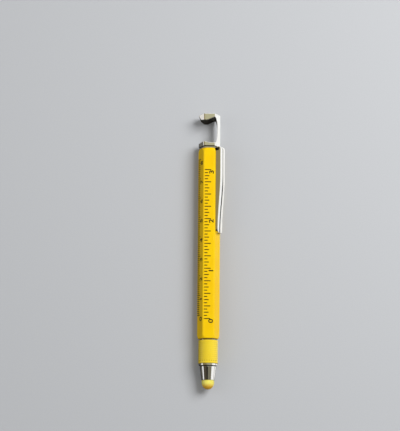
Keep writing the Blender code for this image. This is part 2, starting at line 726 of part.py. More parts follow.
def make_dome(finish, parent):
    """The hollow rubber dome, with a neck that plugs into the cone."""
    radius = DOME_DIAMETER / 2
    hollow = DOME_HOLLOW / 2
    neck = CONE_MOUTH / 2 - SLIP
    top = dome_high + FACE_GAP + DOME_NECK_LENGTH
    bend = dome_high - DOME_STRAIGHT
    crown = bend - dome_low
    inner = crown - DOME_CROWN
    shell = [(radius * math.cos(turn), bend - crown * math.sin(turn))
             for turn in (math.radians(90) * step / ARC_STEPS for step in range(ARC_STEPS))]
    room = [(hollow * math.sin(turn), bend - inner * math.cos(turn))
            for turn in (math.radians(90) * step / ARC_STEPS for step in range(1, ARC_STEPS + 1))]
    turned("stylus_dome", [(0.0, bend - inner)] + room + [
        (hollow, top), (neck, top), (neck, dome_high), (radius, dome_high),
    ] + shell + [(0.0, dome_low)], finish, parent)


clear_scene()

lacquer = material("yellow_lacquer", (0.93, 0.66, 0.02), 0.18, 0.0)
ribbed = material("yellow_grip", (0.80, 0.56, 0.03), 0.35, 0.0)
chrome = material("chrome_plate", (0.80, 0.80, 0.80), 0.08, 1.0)
rubber = material("yellow_rubber", (0.90, 0.75, 0.10), 0.60, 0.0)
steel = material("tool_steel", (0.52, 0.52, 0.54), 0.30, 1.0)
brass = material("turned_brass", (0.75, 0.58, 0.26), 0.28, 1.0)
black = material("black_plastic", (0.02, 0.02, 0.02), 0.45, 0.0)
seal = material("seal_rubber", (0.015, 0.015, 0.015), 0.70, 0.0)
white = material("white_plastic", (0.80, 0.80, 0.78), 0.40, 0.0)

pen = assembly("pen", place=(0.0, 0.0, axis_height))
make_barrel(lacquer, pen)
make_insert(brass, pen)
make_plug(white, pen)
make_bushing(black, pen)

face = assembly("clip_side", pen, turn=CLIP_FACE_TURN)
make_clip_plate(chrome, face)
pivot = (plate_low + plate_high) / 2
pivot_rise = TAB_REACH + FACE_GAP / 2
clip = assembly("clip_flex", face, place=(0.0, pivot, BARREL_FLATS / 2 + pivot_rise))
make_clip_arm(chrome, clip, pivot, pivot_rise)

opener = assembly("opener_pull", pen)
make_opener(chrome, opener)
make_stud(steel, opener)
make_holder(steel, opener)
make_seal("holder_seal", SEAL_DIAMETER, SEAL_SECTION, holder_high - HOLDER_HEAD_LENGTH / 2, seal, opener)
make_magnet(steel, opener)

bit = assembly("bit_pull", opener)
make_bit(steel, bit)

grip_turn = assembly("grip_turn", pen)
make_grip_ring(chrome, grip_turn)

grip = assembly("grip_travel", grip_turn)
make_collar(ribbed, grip)
make_core(brass, grip)
make_nose(chrome, grip)
make_retainer(white, grip)
make_refill(steel, brass, steel, black, grip)
make_seal("cap_seal", SPIGOT_DIAMETER - CAP_SEAL_SECTION, CAP_SEAL_SECTION,
          collar_low - CAP_SEAL_PLACE, seal, grip)

cap = assembly("cap_pull", grip)
make_cap(chrome, black, cap)
make_dome(rubber, cap)
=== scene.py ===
"""Looks of the multi tool pen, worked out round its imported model.

The pen lies along Y on the back flat of its barrel, with the bottle opener
towards +Y, the stylus towards -Y, the inch scale on top and the clip at +X.
Lengths are in metres, and turned pieces and bores are given by their radius.
Each section holds one piece or a group of them.
"""
import math

import bmesh
import bpy
import numpy as np
from mathutils import Matrix, Vector


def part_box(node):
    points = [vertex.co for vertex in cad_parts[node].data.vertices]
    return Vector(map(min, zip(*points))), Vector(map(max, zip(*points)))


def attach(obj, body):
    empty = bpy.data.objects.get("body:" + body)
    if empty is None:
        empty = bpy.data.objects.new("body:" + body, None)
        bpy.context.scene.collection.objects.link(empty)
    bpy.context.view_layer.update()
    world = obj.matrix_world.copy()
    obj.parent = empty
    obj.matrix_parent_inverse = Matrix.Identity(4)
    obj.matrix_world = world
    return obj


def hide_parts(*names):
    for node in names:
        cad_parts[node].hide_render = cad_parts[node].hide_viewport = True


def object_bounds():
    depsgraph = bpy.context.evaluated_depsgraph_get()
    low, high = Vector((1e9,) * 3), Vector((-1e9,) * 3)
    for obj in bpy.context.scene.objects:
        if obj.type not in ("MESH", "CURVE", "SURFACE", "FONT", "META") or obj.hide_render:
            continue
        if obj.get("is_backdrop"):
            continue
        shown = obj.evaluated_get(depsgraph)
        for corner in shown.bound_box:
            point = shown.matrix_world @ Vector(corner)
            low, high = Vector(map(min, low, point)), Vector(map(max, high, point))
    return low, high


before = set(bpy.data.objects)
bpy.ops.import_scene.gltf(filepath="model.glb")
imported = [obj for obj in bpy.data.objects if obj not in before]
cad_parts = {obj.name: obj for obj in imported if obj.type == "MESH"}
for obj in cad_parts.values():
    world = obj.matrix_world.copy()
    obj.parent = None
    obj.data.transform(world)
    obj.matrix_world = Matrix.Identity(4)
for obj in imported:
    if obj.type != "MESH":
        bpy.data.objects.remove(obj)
cad_low, cad_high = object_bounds()


# Camera: it looks down on the pen from above its stylus end, so that the
# opener leans back a little, and is shifted to place the pen in the frame.
MM = 0.001
PHOTO_WIDTH = 400
PHOTO_HEIGHT = 431
PIXEL_AT_PEN = 0.5066 * MM
PEN_PIXEL = (208.77, 250.3)
CAMERA_ELEVATION = math.radians(80)
CAMERA_DISTANCE = 700 * MM
CAMERA_ROLL = math.radians(0.385)
SENSOR = 36.0


def add(name, data):
    """A new object in the scene, at its origin."""
    made = bpy.data.objects.new(name, data)
    bpy.context.scene.collection.objects.link(made)
    return made


barrel_low, barrel_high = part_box("hex_barrel")
AXIS = (barrel_high.z + barrel_low.z) / 2
aim = Vector((0.0, (cad_low.y + cad_high.y) / 2, AXIS))
back = Vector((0.0, -math.cos(CAMERA_ELEVATION), math.sin(CAMERA_ELEVATION)))
lens = bpy.data.cameras.new("camera")
lens.sensor_width = SENSOR
lens.lens = SENSOR * CAMERA_DISTANCE / (PHOTO_HEIGHT * PIXEL_AT_PEN)
lens.shift_x = (PHOTO_WIDTH / 2 - PEN_PIXEL[0]) / PHOTO_HEIGHT
lens.shift_y = (PEN_PIXEL[1] - PHOTO_HEIGHT / 2) / PHOTO_HEIGHT
camera = add("camera", lens)
camera.location = aim + back * CAMERA_DISTANCE
camera.rotation_euler = (back.to_track_quat("Z", "Y").to_matrix()
                         @ Matrix.Rotation(CAMERA_ROLL, 3, "Z")).to_euler()
bpy.context.scene.camera = camera
bpy.context.scene.view_settings.view_transform = "Standard"


# Studio: a pale floor, one large soft lamp on the clip's side, a weaker one
# on the left, and a room of pale and dark bands that bright metal reflects.
class Signal:
    """One output of a node, which takes part in sums as a number does."""

    def __init__(self, graph, socket):
        self.graph = graph
        self.socket = socket

    def math(self, operation, *values):
        return self.graph.node("Math", {"operation": operation}, dict(enumerate(values)))

    def __add__(self, other):
        return self.math("ADD", self, other)

    def __sub__(self, other):
        return self.math("SUBTRACT", self, other)

    def __rsub__(self, other):
        return self.math("SUBTRACT", other, self)

    def __mul__(self, other):
        return self.math("MULTIPLY", self, other)

    __radd__ = __add__
    __rmul__ = __mul__

    def __abs__(self):
        return self.math("ABSOLUTE", self)

    def step(self, start, end):
        """0 below start and 1 above end, with a smooth rise between them."""
        return self.graph.node("MapRange", {"interpolation_type": "SMOOTHSTEP"},
                               {"Value": self, "From Min": start, "From Max": end})

    def between(self, first, second):
        """A colour on the way between two: a Mix node's inputs 6 and 7, output 2."""
        return self.graph.node("Mix", {"data_type": "RGBA"}, {0: self, 6: first, 7: second}, 2)


class Graph:
    """The nodes of a material or of the world, all added by one method."""

    def __init__(self, owner):
        owner.use_nodes = True
        self.owner = owner
        self.tree = owner.node_tree

    def node(self, kind, settings=None, sockets=None, output=0):
        """Adds a node, makes its settings, then sets or links its sockets."""
        made = self.tree.nodes.new("ShaderNode" + kind)
        for setting, value in (settings or {}).items():
            setattr(made, setting, value)
        self.fill(made, sockets or {})
        return Signal(self, made.outputs[output])

    def fill(self, node, sockets):
        for socket, value in sockets.items():
            if isinstance(value, Signal):
                self.tree.links.new(value.socket, node.inputs[socket])
            else:
                node.inputs[socket].default_value = value

    def place(self, axis=None):
        """Where a point lies on its object, whole or along one axis."""
        place = self.node("TexCoord", output="Object")
        return self.node("SeparateXYZ", {}, {0: place}, axis) if axis else place

    def relief(self):
        """The mark on a piece's points: 1 where it wears, -1 deep inside."""
        return self.node("Attribute", {"attribute_name": "relief"}, output="Fac")

    def bump(self, height, depth, strength=0.3):
        """A normal that tilts as if the surface had this height, times a depth."""
        return self.node("Bump", {}, {"Height": height, "Strength": strength, "Distance": depth})


def tone(red, green, blue):
    """A colour from its 0 to 255 display values, as shaders want it."""
    share = np.array([red, green, blue]) / 255
    linear = np.where(share > 0.04045, ((share + 0.055) / 1.055) ** 2.4, share / 12.92)
    return (*linear.tolist(), 1.0)


def finish(name, fixed):
    """A material whose shader starts from these fixed values."""
    graph = Graph(bpy.data.materials.new(name))
    graph.shader = graph.tree.nodes["Principled BSDF"]
    graph.fill(graph.shader, fixed)
    return graph


def grain(graph, size, stretch=(1.0, 1.0, 1.0), detail=3.0):
    """Noise with blots of about a size, made longer along axes of low stretch."""
    place = graph.node("Mapping", {}, {"Vector": graph.place(), "Scale": stretch})
    return graph.node("TexNoise", {}, {"Vector": place, "Scale": 1 / size, "Detail": detail})


def is_seen(graph):
    """1 for rays of the camera, of gloss and of glass, 0 for soft light."""
    camera_ray, gloss, glass = [graph.node("LightPath", output=f"Is {kind} Ray")
                                for kind in ("Camera", "Glossy", "Transmission")]
    return camera_ray + gloss + glass


# What bright metal sees of the floor has a tone by its place, as painted
# reflections: white, but for a dark streak, a grey west, and a painted shadow
# on the ground under the pen. Each pair is a soft edge.
FLOOR_REACH = 1.5
STREAK_EAST = 23.6 * MM
STREAK_EDGE = (2.8 * MM, 4.1 * MM)
STREAK_END = (29 * MM, 40 * MM)
WEST_EDGE = (-1 * MM, 1 * MM)
WEST_END = (57 * MM, 61 * MM)
UNDER_EAST = -2.5 * MM
UNDER_EDGE = (8 * MM, 10 * MM)
FAR_END = (75 * MM, 95 * MM)
FLOOR_WHITE = tone(255, 255, 253)
PALE_GREY = tone(200, 202, 205)
floor_corners = FLOOR_REACH * np.array([(-1, -1, 0), (1, -1, 0), (1, 1, 0), (-1, 1, 0)])
floor_mesh = bpy.data.meshes.new("floor")
floor_mesh.from_pydata(floor_corners, [], [(0, 1, 2, 3)])
floor = add("floor", floor_mesh)
paper = finish("floor_paper", {"Roughness": 0.7, "Specular IOR Level": 0.2})
sheet = grain(paper, 0.6 * MM).between(tone(192, 194, 197), PALE_GREY)
across = paper.place("X")
along = paper.place("Y")
streak = along.step(*STREAK_END).between(tone(30, 29, 28), tone(190, 188, 184))
mirrored = abs(across - STREAK_EAST).step(*STREAK_EDGE).between(streak, FLOOR_WHITE)
left = along.step(*WEST_END).between(tone(104, 102, 96), tone(228, 225, 220))
mirrored = across.step(*WEST_EDGE).between(left, mirrored)
mirrored = abs(across - UNDER_EAST).step(*UNDER_EDGE).between(tone(52, 50, 46), mirrored)
mirrored = along.step(*FAR_END).between(mirrored, FLOOR_WHITE)
shown = paper.node("LightPath", output="Is Camera Ray").between(mirrored, sheet)
paper.fill(paper.shader, {"Base Color": is_seen(paper).between(tone(120, 120, 120), shown)})
floor_mesh.materials.append(paper.owner)
floor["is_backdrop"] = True

# The room's tone goes by a ray's east or north part, from -1 to 1: a dark
# beam in a grey ceiling, between walls. Each pair is again a soft edge.
AMBIENT = 0.30
BEAM_EAST_share = -0.20
BEAM_EDGE_shares = (0.13, 0.18)
FAR_CEILING_shares = (0.02, 0.14)
NORTH_WALL_shares = (0.36, 0.48)
GREY_WALL_shares = (-0.36, -0.30)
EAST_WALL_shares = (0.74, 0.86)
WEST_WALL_shares = (-0.96, -0.92)
WHITE_WALL = tone(252, 252, 250)
GREY_WALL = tone(74, 68, 56)
TAUPE_WALL = tone(146, 132, 92)
DARK_BEAM = tone(6, 6, 5)
CEILING = tone(120, 116, 98)
FAR_CEILING = tone(184, 180, 146)
world = bpy.data.worlds.new("studio")
bpy.context.scene.world = world
room = Graph(world)
direction = room.node("TexCoord", output="Generated")
east = room.node("SeparateXYZ", {}, {0: direction}, "X")
north = room.node("SeparateXYZ", {}, {0: direction}, "Y")
ceiling = abs(east - BEAM_EAST_share).step(*BEAM_EDGE_shares).between(DARK_BEAM, CEILING)
ceiling = north.step(*FAR_CEILING_shares).between(ceiling, FAR_CEILING)
ceiling = north.step(*NORTH_WALL_shares).between(ceiling, WHITE_WALL)
west = north.step(*FAR_CEILING_shares).between(GREY_WALL, TAUPE_WALL)
ceiling = east.step(*GREY_WALL_shares).between(west, ceiling)
walls = east.step(*EAST_WALL_shares).between(ceiling, WHITE_WALL)
walls = east.step(*WEST_WALL_shares).between(WHITE_WALL, walls)
walls = room.node("LightPath", output="Is Camera Ray").between(walls, PALE_GREY)
dim = room.node("Background", {}, {"Color": tone(255, 255, 255), "Strength": AMBIENT})
plain = room.node("Background", {}, {"Color": walls, "Strength": 1.0})
both = room.node("MixShader", {}, {0: is_seen(room), 1: dim, 2: plain})
room.fill(room.tree.nodes["World Output"], {"Surface": both})


def lamp(name, place, size, power):
    """A square soft lamp at a place, aimed at the pen.

    Metal shows the room's white wall in its stead, so no spot burns out.
    """
    light = bpy.data.lights.new(name, "AREA")
    light.size = size
    light.energy = power
    made = add(name, light)
    made.location = place
    made.visible_glossy = False
    made.rotation_euler = (Vector(place) - aim).to_track_quat("Z", "Y").to_euler()


lamp("key_lamp", place=(0.44, 0.264, 0.616), size=0.45, power=5.7)
lamp("fill_lamp", place=(-0.60, 0.05, 0.45), size=0.5, power=0.75)


# Barrel: a hexagonal metal tube with rounded corners and ends turned to a
# slight cone, sprayed yellow under a clear coat that has worn along the edges.
FLATS = barrel_high.z - barrel_low.z
BARREL_CORNER = 1.0 * MM
BARREL_EDGE = 0.3 * MM
BARREL_BORE = 4.2 * MM
BORE_EDGE = 0.15 * MM
CORNER_SHRINK_share = 0.9
TURNED_END_share = 1.024
TURNED_END_SLOPE = 0.29
TURNED_END_START = 0.4 * MM
TURNED_END_REACH = 2.4 * MM
WORN_ARC = math.radians(7)
CLIP_FACE = math.radians(60)
# Where the lacquer is painted dark as the shade under the clip's bend.
BEND_SHADE_REACH = 2.0 * MM
BEND_SHADE_FADE = 0.4 * MM
BEND_SHADE_RAGGED = 0.5 * MM
MERGE = 0.0005 * MM
SHARP = math.radians(32)


def points_of(*coordinates):
    """Points with these coordinates, each an array or one number for all."""
    return np.stack(np.broadcast_arrays(*coordinates), axis=-1)


def round_points(turn):
    """The points (cos, sin) of a circle of radius 1 at these turns."""
    return points_of(np.cos(turn), np.sin(turn))


def rounded(corners, radius, steps=5, closed=True):
    """Polygons in which each corner is turned into an arc.

    The arc meets the corner's two sides at radius / tan(half its angle), and
    its points are equal turns apart. A point before it and one after it keep
    the sides flat in smooth shading. An open line keeps its two ends.
    """
    corners = np.asarray(corners, float)
    radius = np.broadcast_to(radius, corners.shape[:-1])[..., None]
    before = np.roll(corners, 1, axis=-2) - corners
    after = np.roll(corners, -1, axis=-2) - corners
    before /= np.linalg.norm(before, axis=-1, keepdims=True)
    after /= np.linalg.norm(after, axis=-1, keepdims=True)
    half = np.arccos(np.clip((before * after).sum(-1, keepdims=True), -1, 1)) / 2
    reach = radius / np.tan(half)
    middle = before + after
    middle /= np.linalg.norm(middle, axis=-1, keepdims=True)
    centre = corners + middle * radius / np.sin(half)
    share = np.linspace(0, 1, steps + 1)[:, None]
    turn = (np.pi - 2 * half)[..., None, :]
    first = (corners + before * reach - centre)[..., None, :]
    last = (corners + after * reach - centre)[..., None, :]
    arc = (np.sin((1 - share) * turn) * first + np.sin(share * turn) * last) / np.sin(turn)
    lead = (corners + before * (reach + radius / 5))[..., None, :]
    tail = (corners + after * (reach + radius / 5))[..., None, :]
    points = np.concatenate([lead, centre[..., None, :] + arc, tail], axis=-2)
    if not closed:
        points = points[..., 1:-1, :, :]
    points = points.reshape(*corners.shape[:-2], -1, 2)
    if not closed:
        points = np.concatenate([corners[..., :1, :], points, corners[..., -1:, :]], axis=-2)
    return points


def hexagon(flats, corner):
    """Outlines of (x, z) of rounded hexagons lying on a flat, one per width."""
    unit = round_points(np.radians(60 * np.arange(6))) / (2 * math.cos(math.radians(30)))
    return rounded(np.multiply.outer(flats, unit), np.asarray(corner)[..., None])


def divided(outlines, parts):
    """Closed outlines with each side split into equal parts."""
    after = np.roll(outlines, -1, axis=-2)
    share = np.arange(parts)[:, None] / parts
    points = outlines[..., None, :] + (after - outlines)[..., None, :] * share
    return points.reshape(*outlines.shape[:-2], -1, 2)


def stacked(outlines, places):
    """Sets outlines of (x, z) across the pen's axis, at places along it."""
    return points_of(outlines[..., 0], np.asarray(places)[:, None], outlines[..., 1] + AXIS)


def skin(name, grid, loop=False, caps=False, relief=None):
    """The closed mesh over rows of points, where each row runs round.

    Four neighbours on the grid make a face. With loop, the last row joins the
    first; with caps, a face closes each end. Points that coincide are merged.
    relief is kept as an attribute of the points.
    """
    rows, columns = grid.shape[:2]
    index = np.arange(rows * columns).reshape(rows, columns)
    if loop:
        index = np.vstack([index, index[:1]])
    beside = np.roll(index, -1, axis=1)
    faces = np.stack([index[:-1], beside[:-1], beside[1:], index[1:]], axis=-1).reshape(-1, 4).tolist()
    if caps:
        faces += [index[0].tolist(), index[-1].tolist()]
    mesh = bpy.data.meshes.new(name)
    mesh.from_pydata(grid.reshape(-1, 3), [], faces)
    if relief is not None:
        layer = mesh.attributes.new("relief", "FLOAT", "POINT")
        layer.data.foreach_set("value", np.broadcast_to(relief, (rows, columns)).ravel())
    shape = bmesh.new()
    shape.from_mesh(mesh)
    bmesh.ops.remove_doubles(shape, verts=shape.verts, dist=MERGE)
    bmesh.ops.recalc_face_normals(shape, faces=shape.faces)
    shape.to_mesh(mesh)
    shape.free()
    mesh.shade_smooth()
    mesh.set_sharp_from_angle(angle=SHARP)
    return add(name, mesh)


def dress(piece, look, body, slot, *nodes):
    """Gives a piece its finish and body, and hides the CAD nodes that it stands for. The slot is not used.
    """
    piece.data.materials.append(look.owner)
    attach(piece, body)
    if nodes:
        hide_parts(*nodes)


def make_lacquer():
    """Lacquer, paler where it is worn, with painted shade beneath the clip's bend.

    The painted shade lies past the corner before the clip's face, above the axis,
    and near the barrel's end.
    """
    look = finish("yellow_lacquer", {"Coat Roughness": 0.12, "Coat IOR": 1.5, "Specular IOR Level": 0.2})
    cloud = grain(look, 9 * MM, detail=2.0)
    speck = grain(look, 0.14 * MM)
    colour = cloud.step(0.35, 0.65).between(tone(254, 209, 0), tone(252, 203, 0))
    worn = (look.relief() * speck.step(0.54, 0.66)).between(colour, tone(255, 218, 44))
    peel = look.bump(grain(look, 0.6 * MM), 0.01 * MM, strength=0.1)
    square = (math.sin(CLIP_FACE + math.pi / 3), 0, math.cos(CLIP_FACE + math.pi / 3))
    past = look.node("VectorMath", {"operation": "DOT_PRODUCT"}, {0: look.place(), 1: square}, "Value")
    above = look.place("Z") - AXIS
    ragged = grain(look, BEND_SHADE_RAGGED) * BEND_SHADE_RAGGED
    start = barrel_high.y - BEND_SHADE_REACH
    # Painted shadow: the lacquer turns near black and loses its coat in the shade under the clip's bend.
    bend_shade = ((past - AXIS * square[2] - ragged).step(-BEND_SHADE_FADE / 2, BEND_SHADE_FADE / 2)
             * above.step(0, BEND_SHADE_FADE) * (look.place("Y") - ragged).step(start, start + BEND_SHADE_FADE))
    look.fill(look.shader, {"Base Color": bend_shade.between(worn, tone(14, 11, 6)), "Normal": peel,
                            "Roughness": 0.3 + speck * 0.1 + bend_shade * 0.4,
                            "Coat Weight": (1 - bend_shade) * 0.2})
    return look


def make_barrel():
    """Hexagons along the tube, narrowed by an inset that rounds its two rims.

    Each is kept within a radius of share * half the flats + slope * distance
    from the end, and circles of the bore close the tube. The corners and the
    rims are marked as worn.
    """
    outer = rounded([(BARREL_CORNER / 2, barrel_low.y), (0, barrel_low.y), (0, barrel_high.y),
                     (BARREL_CORNER / 2, barrel_high.y)], BARREL_EDGE, closed=False)
    near_end = np.linspace(TURNED_END_START, TURNED_END_REACH, 22)
    extra = np.concatenate([barrel_low.y + near_end, barrel_high.y - near_end[::-1]])
    inset, place = np.insert(outer, len(outer) // 2, points_of(0.0, extra), axis=0).T
    shell = divided(hexagon(FLATS - 2 * inset, BARREL_CORNER - inset * CORNER_SHRINK_share), 8)
    end_gap = np.minimum(place - barrel_low.y, barrel_high.y - place)
    bound = TURNED_END_share * FLATS / 2 + TURNED_END_SLOPE * end_gap - inset
    shell *= np.minimum(1, bound[:, None] / np.hypot(shell[..., 0], shell[..., 1]))[..., None]
    angle = np.arctan2(shell[0, :, 1], shell[0, :, 0])
    mouth = np.array([(BARREL_BORE + BORE_EDGE, barrel_high.y), (BARREL_BORE, barrel_high.y - BORE_EDGE),
                      (BARREL_BORE, barrel_low.y + BORE_EDGE), (BARREL_BORE + BORE_EDGE, barrel_low.y)])
    tube = np.concatenate([shell, np.multiply.outer(mouth[:, 0], round_points(angle))])
    near_corner = np.abs((angle + np.pi / 6) % (np.pi / 3) - np.pi / 6) < WORN_ARC
    wear = np.zeros(tube.shape[:2])
    wear[:len(inset)] = near_corner | (inset > 0)[:, None]
    return skin("barrel_tube", stacked(tube, np.concatenate([place, mouth[:, 1]])), loop=True, relief=wear)


dress(make_barrel(), make_lacquer(), "barrel", "yellow_lacquer", "hex_barrel")


# Scales: inches in sixteenths on the top face and centimetres on the face to
# its left, screen printed in dark brown ink that stands a hair proud.
INK_HEIGHT = 0.02 * MM
INK_WIDTH = 0.46 * MM
INCHES = 3
INCH = 25.4 * MM
INCH_ZERO = -39.03 * MM
INCH_EDGE = -2.25 * MM
INCH_TICK_ENDS = (0.95 * MM, 0.05 * MM, -0.65 * MM)
INCH_NUMERAL_BACK = 1.2 * MM
INCH_NUMERAL_ACROSS = 1.3 * MM
CENTIMETRES = 8
CM_FACE = math.radians(-60)
CM_ZERO = -37.0 * MM
CM_EDGE = -2.35 * MM
CM_TICK_ENDS = (0.05 * MM, -0.3 * MM, -0.6 * MM)
CM_NUMERAL_BACK = 2.0 * MM
CM_NUMERAL_ACROSS = 1.1 * MM
NUMERAL_SIZE = 3.2 * MM
NUMERAL_BOLD = 0.07 * MM
NUMERAL_WIDTH_share = 1.3


def face_axes(turn):
    """The directions across, along and out of a barrel face."""
    return np.array([(math.cos(turn), 0, -math.sin(turn)), (0, 1, 0), (math.sin(turn), 0, math.cos(turn))])


def on_face(turn, places):
    """Moves places of (across, along, out) from the origin to a face's middle."""
    axes = face_axes(turn)
    return (0, 0, AXIS) + axes[2] * FLATS / 2 + places @ axes


def bars(name, places, start, ends, turn):
    """Flat printed bars across a face: from start to ends, at places along.

    Each is a box of eight corners, moved to low + corner * (high - low).
    """
    low = points_of(start, places - INK_WIDTH / 2, -INK_HEIGHT)
    high = points_of(ends, places + INK_WIDTH / 2, INK_HEIGHT)
    unit = np.array([(0, 0, 0), (1, 0, 0), (1, 1, 0), (0, 1, 0),
                     (0, 0, 1), (1, 0, 1), (1, 1, 1), (0, 1, 1)])
    boxes = on_face(turn, low[:, None] + unit * (high - low)[:, None])
    sides = np.array([(3, 2, 1, 0), (4, 5, 6, 7), (0, 1, 5, 4), (1, 2, 6, 5), (2, 3, 7, 6), (3, 0, 4, 7)])
    faces = (sides + 8 * np.arange(len(places))[:, None, None]).reshape(-1, 4)
    mesh = bpy.data.meshes.new(name)
    mesh.from_pydata(boxes.reshape(-1, 3), [], faces.tolist())
    return add(name, mesh)


def numerals(name, count, first, gap, side, turn):
    """Numerals from 0, a gap apart, that read along the pen from the stylus.

    Each is made at the origin, and its x, y and z then point along, to the
    left and out.
    """
    across, along, out = face_axes(turn)
    columns = Matrix(np.array([along * NUMERAL_WIDTH_share, -across, out]).T.tolist()).to_4x4()
    shape = bmesh.new()
    for number in range(count):
        text = bpy.data.curves.new("numeral", "FONT")
        text.body = str(number)
        text.size = NUMERAL_SIZE
        text.extrude = INK_HEIGHT
        text.offset = NUMERAL_BOLD
        text.align_x = text.align_y = "CENTER"
        letter = add("numeral", text)
        flat = bpy.data.meshes.new_from_object(letter.evaluated_get(bpy.context.evaluated_depsgraph_get()))
        place = on_face(turn, np.array([side, first + gap * number, 0]))
        flat.transform(Matrix.Translation(place) @ columns)
        shape.from_mesh(flat)
        bpy.data.objects.remove(letter)
        bpy.data.curves.remove(text)
        bpy.data.meshes.remove(flat)
    mesh = bpy.data.meshes.new(name)
    shape.to_mesh(mesh)
    shape.free()
    return add(name, mesh)


def tick_ends(number, whole, half, ends):
    """Where each tick ends: those of whole units, of halves, and the rest."""
    return np.select([number % whole == 0, number % half == 0], ends[:2], ends[2])


def make_ink():
    """Brown ink, thinner in places."""
    look = finish("printed_ink", {"Specular IOR Level": 0.3})
    thin = grain(look, 0.3 * MM)
    colour = thin.step(0.55, 0.75).between(tone(34, 24, 14), tone(66, 48, 20))
    look.fill(look.shader, {"Base Color": colour, "Roughness": 0.45 + thin * 0.2})
    return look


sixteenth = np.arange(16 * INCHES + 1)
inch_ticks = bars("inch_ticks", INCH_ZERO + INCH / 16 * sixteenth, INCH_EDGE,
                  tick_ends(sixteenth, 4, 2, INCH_TICK_ENDS), 0.0)
inch_numerals = numerals("inch_numerals", INCHES + 1, INCH_ZERO - INCH_NUMERAL_BACK, INCH,
                         INCH_NUMERAL_ACROSS, 0.0)
millimetre = np.arange(10 * CENTIMETRES + 1)
cm_ticks = bars("cm_ticks", CM_ZERO + millimetre * MM, CM_EDGE,
                tick_ends(millimetre, 10, 5, CM_TICK_ENDS), CM_FACE)
cm_numerals = numerals("cm_numerals", CENTIMETRES + 1, CM_ZERO - CM_NUMERAL_BACK, 10 * MM,
                       CM_NUMERAL_ACROSS, CM_FACE)
ink = make_ink()
for printed in (inch_ticks, inch_numerals, cm_ticks, cm_numerals):
    dress(printed, ink, "barrel", "yellow_lacquer")


# Clip plate and bushing: a stamped chromed plate held between the barrel's
# end and the flange of a moulded bushing, which is pressed into the barrel.
def coat(node, look):
    """Gives a CAD node that stays as it is a better finish."""
    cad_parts[node].material_slots[0].material = look.owner


def make_chrome(name, bright, smeared):
    """Chrome with a few smudges, painted dark as shade and rougher where a piece marks its inside."""
    look = finish(name, {"Metallic": 1.0})
    smudge = grain(look, 2.5 * MM, detail=4.0)
    haze = grain(look, 0.2 * MM)
    inside_shade = 0 - look.relief()
    # Painted shade: the chrome turns dark grey where a piece marks its inside.
    colour = inside_shade.between(smudge.between(bright, smeared), tone(40, 38, 34))
    rough = 0.03 + smudge.step(0.45, 0.75) * 0.05 + haze * 0.02 + inside_shade * 0.25
    look.fill(look.shader, {"Base Color": colour, "Roughness": rough,
                            "Normal": look.bump(grain(look, 1.2 * MM), 0.02 * MM, strength=0.15)})
    return look


def make_plastic(name, dark, light, gloss):
    """Moulded plastic: a fine speckle and a slightly uneven skin."""
    look = finish(name, {"Specular IOR Level": 0.4})
    speckle = grain(look, 0.15 * MM)
    look.fill(look.shader, {"Base Color": speckle.between(dark, light), "Roughness": gloss + speckle * 0.12,
                            "Normal": look.bump(speckle, 0.01 * MM)})
    return look


chrome = make_chrome("chrome_plate", tone(250, 250, 250), tone(242, 241, 238))
black_plastic = make_plastic("black_plastic", tone(18, 18, 18), tone(34, 34, 34), 0.38)
white_plastic = make_plastic("white_plastic", tone(226, 226, 220), tone(240, 240, 236), 0.35)
coat("clip_plate", chrome)
coat("top_bushing", black_plastic)
coat("chamber_plug", white_plastic)


# Clip: one strip of spring steel, folded to a channel, bent over the barrel's
# end and chromed. It sinks towards a rounded tip, where its walls close.
CLIP_WIDTH = 4.8 * MM
CLIP_RISE = 2.85 * MM
CLIP_TIP_RISE = 1.42 * MM
CLIP_BEND = 1.0 * MM
CLIP_START = 1.3 * MM
CLIP_SHEET = 0.45 * MM
CLIP_LIP = 0.05 * MM
CLIP_SHOULDER = 0.28 * MM
CLIP_SHOULDER_share = 0.6
CLIP_HEM = 0.12 * MM
CLIP_HEM_share = 0.4
CLIP_CROWN = 0.2 * MM
CROWN_DEPTH = 1.2 * MM
WALL_TOP_DEPTH = 0.9 * MM
WALL_START = 1.5 * MM
WALL_STEP = 0.1 * MM
WALL_CLEARANCE = 0.13 * MM
EASE_START_share = 0.31
TIP_ROUND = 1.6 * MM
FOOT_RADIUS = 0.8 * MM
FOOT_HEIGHT = 1.0 * MM
FOOT_FROM_TIP = 5.5 * MM


def full_turn(steps):
    """Turns once round, equally far apart."""
    return np.linspace(0, 2 * np.pi, steps, endpoint=False)


